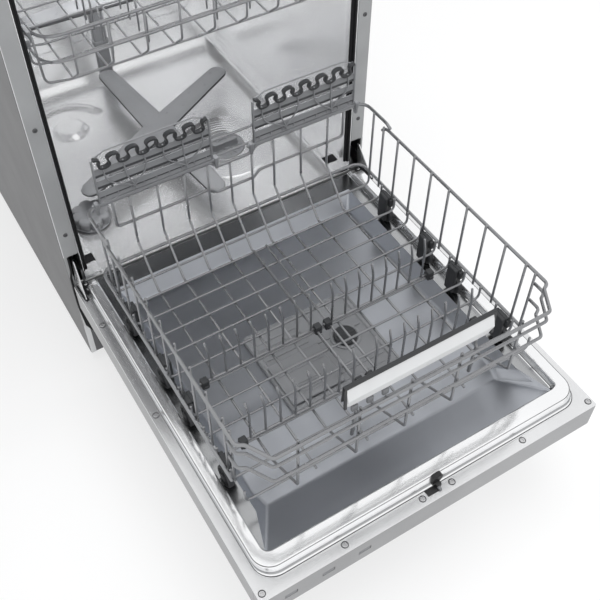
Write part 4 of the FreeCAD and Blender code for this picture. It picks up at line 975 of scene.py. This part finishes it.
def make_filter_knob():
    x, y = FILTER_X, FILTER_Y
    middle = (x, y, 0)
    lathe([(39.8, 140), (39.8, 197.4), (39, 198.9), (35.4, 199), (34, 197.6), (31, 196.4), (10, 196),
           (8, 198.4), (2, 198.6)], middle, "z", 56)
    spokes(16, middle, (12, 196.6), (33, 196.8), 1)
    rows = ((27.9, 5.9, 5, 196.4), (27.9, 4.6, 4, 202), (27.4, 3.8, 3.4, 208), (26, 4.8, 4, 210.2),
            (24.6, 3.6, 3, 210.9))
    shell([(x - u, x + u, y - v, y + v, corner, z) for u, v, corner, z in rows], cap=True)
    piece("filter_grip", "grey_plastic", "filter_cylinder", "filter_cylinder")


# Upper rack
def make_upper_rack():
    wire, rim = 1.9, 2.6
    x, low_y, high_y, floor = 243, 56, 536, 575
    for z, radius in ((670, rim), (628, rim - 0.3)):
        corners = [(-x, low_y, z), (x, low_y, z), (x, high_y, z), (-x, high_y, z)]
        tube(corners, radius, 40, closed=True)
    for k in range(9):
        y = low_y + 30 + (high_y - low_y - 60) * k / 8
        tube(across([(-x, y, 671), (4 - x, y, floor + 6), (40 - x, y, floor)]), wire, 14)
    for k in range(8):
        lx = -196 + 56 * k
        run = [(low_y, 671), (low_y + 3, floor + 24), (low_y + 36, floor - 4), (high_y - 30, floor - 4),
               (high_y - 3, floor + 24), (high_y, 671)]
        tube([(lx, y, z) for y, z in run], wire, 14)
    for lx in (-120, -60, 60, 120):
        for k in range(11):
            y = low_y + 60 + 36 * k
            tube([(lx, y, floor - 3), (lx, y, floor + 44), (lx, y + 5, floor + 56)], 1.6, 20, sides=6)
    piece("upper_rack_wires", "silver_wire", "upper_rack", "upper_rack_basket", sharp=60)
    pair((251.2, 57, 664.4), (260.4, 526, 675.6), 2, 3)
    for k in range(5):
        y = 70 + 110 * k
        pair((245.4, y, 661), (251.6, y + 24, 679), 1.6, 2)
    piece("upper_slide_bars", "grey_plastic", "upper_rack", "upper_slides")


# Low parts and fittings at the back
def make_feet():
    for x in (-242.8, 242.8):
        for y in (82, 524):
            lathe([(18, 0), (19.8, 0.8), (20, 5.4), (18.6, 7.8), (9, 8.2), (8, 12), (6, 12.6), (6, 33.9)],
                  (x, y, 0), "z", 36)
            for k in range(6):
                lathe([(6, 14), (6.7, 14.7), (6.7, 15.3), (6, 16)], (x, y, 3 * k), "z", 24)
            prism([(x + u, y + v) for u, v in circle(10.6, 6)], 29, 33.6)
    piece("feet_set", "grey_plastic", "cabinet", "levelling_feet")


def make_rear_fittings():
    z = 81.5
    block((-177.3, 579.2, 56.7), (-121.7, 600.6, 106.3), 3, 3)
    profile = [(12.2, 600)]
    for k in range(6):
        y = 601.5 + 2.4 * k
        profile += [(11.8, y), (13.1, y + 0.8), (13.1, y + 1.4), (11.8, y + 2)]
    profile += [(12.8, 616.4), (11.8, 617), (9.6, 617), (9.4, 604), (3, 604)]
    lathe(profile, (-149.5, 0, z), "y", 36)
    for x in (-170, -129):
        for dz in (-17, 17):
            lathe([(4, 600), (4, 601.4), (3, 602), (0.8, 602)], (x, 0, z + dz), "y", 16)
    piece("inlet_valve_parts", "pale_plastic", "cabinet", "water_inlet")
    profile = [(19.8, 579.1), (19.8, 582.4), (18.8, 583.6), (13, 584), (11, 585)]
    for k in range(5):
        y = 588 + 4.6 * k
        profile += [(8.4, y), (9.9, y + 0.6), (8.4, y + 3.6)]
    profile += [(8.2, 612), (6.6, 612), (6.4, 590), (1, 590)]
    lathe(profile, (99.7, 0, z), "y", 36)
    reach = 15.8 * cos(pi / 4)
    for x in (99.7 - reach, 99.7 + reach):
        for up in (-reach, reach):
            lathe([(2.4, 583.2), (2.4, 584.6), (1.6, 585), (0.4, 585)], (x, 0, z + up), "y", 14)
    piece("drain_spigot_barbs", "grey_plastic", "cabinet", "drain_outlet")
    profile = [(15, 579.1), (15, 582.6), (13.4, 584), (11.4, 584.4)]
    for k in range(4):
        y = 585.4 + 4.3 * k
        neck, ridge = 10.6 - 0.5 * k, 12.4 - 0.7 * k
        profile += [(neck, y), (ridge, y + 0.6), (ridge - 0.2, y + 2.6), (neck - 0.2, y + 3.2)]
    profile += [(8.6, 603), (5.2, 603), (5.2, 579.1)]
    lathe(profile, (209.3, 0, z), "y", 36, loop=True)
    piece("cord_gland_bush", "black_rubber", "cabinet", "cord_gland")
    for x in (-272, -228, -92, -48, -4, 40, 150, 256):
        block((x - 1.6, 578.6, 42), (x + 1.6, 581.6, 124), 0.6, 2)
    block((-296, 578.6, 122), (296, 582.4, 128.8), 1, 2)
    piece("base_tray_ribs", "grey_plastic", "cabinet")


def make_feeds():
    """The riser and the post that feed the arms, and the feed under the upper rack."""
    y = TUB_BACK - 6
    prism(oblong(-14.4, 14.4, y - 5, y + 5.9, 4.5), 197, 574.6)
    for z in (202, 286, 370, 454, 538):
        rows = ((16, 5.2, 4, 0), (17, 5.9, 5, 1.4), (17, 5.9, 5, 9), (16, 5.2, 4, 10.4))
        shell([(-u, u, y - v, y + 5.9, corner, z + up) for u, v, corner, up in rows], cap=True)
    hub = (0, TUB_MID, 0)
    lathe([(19.8, 196.2), (19.8, 200), (17.4, 202), (16.8, 236), (19.4, 239), (19.4, 243), (11.9, 243.1),
           (11.9, 254.8), (10.8, 256.2), (2, 256.3)], hub, "z", 40)
    spokes(8, hub, (17, 203), (17, 238), 1.2)
    piece("feed_riser_parts", "grey_plastic", "cabinet", "water_feed")
    lathe([(11.9, 542.5), (11.9, 555.3), (15.2, 555.5), (15.9, 556.4), (15.9, 561), (18, 563.4),
           (36.8, 563.6), (37.9, 564.6), (37.9, 567.4), (37, 568.2), (2, 568.2)], hub, "z", 44)
    spokes(6, hub, (16, 558), (34, 563), 1.4)
    piece("arm_feed_hub", "grey_plastic", "upper_rack", "arm_feed")


def make_tracks_and_rails():
    track = [(271.6, 228), (262, 228), (261, 227.4), (252, 227.4), (251, 228), (244, 228), (242, 227.4),
             (241, 225.6), (241, 217.4), (241.6, 216.2), (244, 216), (244, 217.2), (242.4, 217.8),
             (242.4, 225), (243, 226.2), (244.4, 226.6), (271.6, 226.4)]
    twins(track, TUB_FRONT + 1.6, TUB_BACK - 1.6, "xzy")
    piece("track_sheets", "stainless", "cabinet", "lower_tracks", finish="tub_steel", sharp=30)
    middle = 670
    half = [(271.8, 10.6), (270.6, 11.8), (257.6, 11.8), (256.2, 10.4), (256.2, 7.6), (257.2, 6.8),
            (260.8, 6.8)]
    rail = [(x, middle + up) for x, up in half] + [(x, middle - up) for x, up in reversed(half)]
    twins(rail, 56.4, 526, "xzy")
    for x in (-264, 264):
        for y in (76, 222, 368, 510):
            lathe([(2.6, 681.6), (2.6, 682), (0.4, 682)], (x, y, 0), "z", 14)
    piece("rail_channels", "stainless", "cabinet", "upper_rails", sharp=30)


# Camera, light and floor
def aim_camera():
    right = Vector((0.8533, -0.5215, 0.0023)).normalized()
    ahead = Vector((0.3342, 0.5434, -0.7701))
    ahead = (ahead - right * ahead.dot(right)).normalized()
    up = right.cross(ahead)
    place = (-0.4805, -1.0187, 1.3753)
    data = bpy.data.cameras.new("camera")
    data.sensor_width = 36
    data.lens = 52.99
    camera = bpy.data.objects.new("camera", data)
    turn = Matrix((right, up, -ahead)).transposed().to_4x4()
    camera.matrix_world = Matrix.Translation(place) @ turn
    scene.collection.objects.link(camera)
    scene.camera = camera


def area_light(name, place, target, size, power):
    data = bpy.data.lights.new(name, "AREA")
    data.shape = "RECTANGLE"
    data.size, data.size_y = size
    data.energy = power
    lamp = bpy.data.objects.new(name, data)
    lamp.location = place
    lamp.rotation_euler = (Vector(target) - Vector(place)).to_track_quat("-Z", "Y").to_euler()
    lamp.visible_glossy = False
    lamp.visible_camera = False
    scene.collection.objects.link(lamp)


def seen_or_mirrored(tree):
    """1 for rays from the camera, or off metal or glass, so that these meet the plain backdrop."""
    result = add_node(tree, "LightPath", output="Is Camera Ray")
    path = result.node.outputs
    for kind in ("Is Glossy Ray", "Is Transmission Ray"):
        result = add_node(tree, "Math", result, path[kind], operation="MAXIMUM")
    return result


def light_scene():
    world = bpy.data.worlds.new("studio")
    scene.world = world
    world.use_nodes = True
    world.cycles.sampling_method = "NONE"
    tree = world.node_tree
    soft = tree.nodes["Background"]
    feed(soft, Color=(0.96, 0.98, 1.0, 1), Strength=0.45)
    white = add_node(tree, "Background", Color=(1, 1, 1, 1), Strength=1.0)
    mix = add_node(tree, "MixShader", seen_or_mirrored(tree), soft.outputs[0], white)
    feed(tree.nodes["World Output"], Surface=mix)
    area_light("overhead", (0.2, -0.3, 4.0), (0, -0.2, 0.3), (3.0, 2.6), 98)
    area_light("right", (2.4, -0.6, 1.4), (0, -0.2, 0.3), (1.6, 1.6), 26)
    area_light("front", (-1.3, -2.7, 1.3), (0, 0, 0.4), (1.8, 1.6), 34)
    area_light("tub", (0, 0.28, 0.8), (0, 0.27, 0.2), (0.42, 0.42), 6)


def lay_floor():
    """A pale floor that keeps the shadow near the object and fades into the backdrop further out."""
    mesh = bpy.data.meshes.new("floor")
    mesh.from_pydata([(-9, -9, 0), (9, -9, 0), (9, 9, 0), (-9, 9, 0)], [], [(0, 1, 2, 3)])
    floor = bpy.data.objects.new("floor", mesh)
    scene.collection.objects.link(floor)
    tree, shader = new_material("floor")
    feed(shader, Base_Color=(0.86, 0.86, 0.86, 1), Roughness=0.7, Specular_IOR_Level=0.1)
    glow = add_node(tree, "Emission", Color=(1, 1, 1, 1), Strength=1.0)
    where = add_node(tree, "TexCoord", output="Object")
    reach = add_node(tree, "VectorMath", where, operation="LENGTH", output="Value")
    near, far, least_glow = 0.9, 2.4, 0.68
    fade = add_node(tree, "MapRange", reach, near, far, least_glow, 1.0)
    part = add_node(tree, "Math", seen_or_mirrored(tree), fade, operation="MULTIPLY")
    blend = add_node(tree, "MixShader", part, shader.outputs[0], glow)
    feed(tree.nodes["Material Output"], Surface=blend)
    mesh.materials.append(MATERIALS["floor"])


make_liner()
make_door_outside()
make_door_fittings()
make_dispenser()
make_basket()
make_tines()
make_clips()
make_wheels()
make_shelf(-1)
make_shelf(1)
make_handle()
make_cabinet()
make_seal()
make_hinges()
make_tub()
make_tub_floor()
make_spray_arms()
make_salt_cap()
make_filter()
make_upper_rack()
make_feet()
make_rear_fittings()
make_feeds()
make_filter_knob()
make_tracks_and_rails()
aim_camera()
light_scene()
lay_floor()
scene.view_settings.view_transform = "Standard"

bpy.context.view_layer.update()
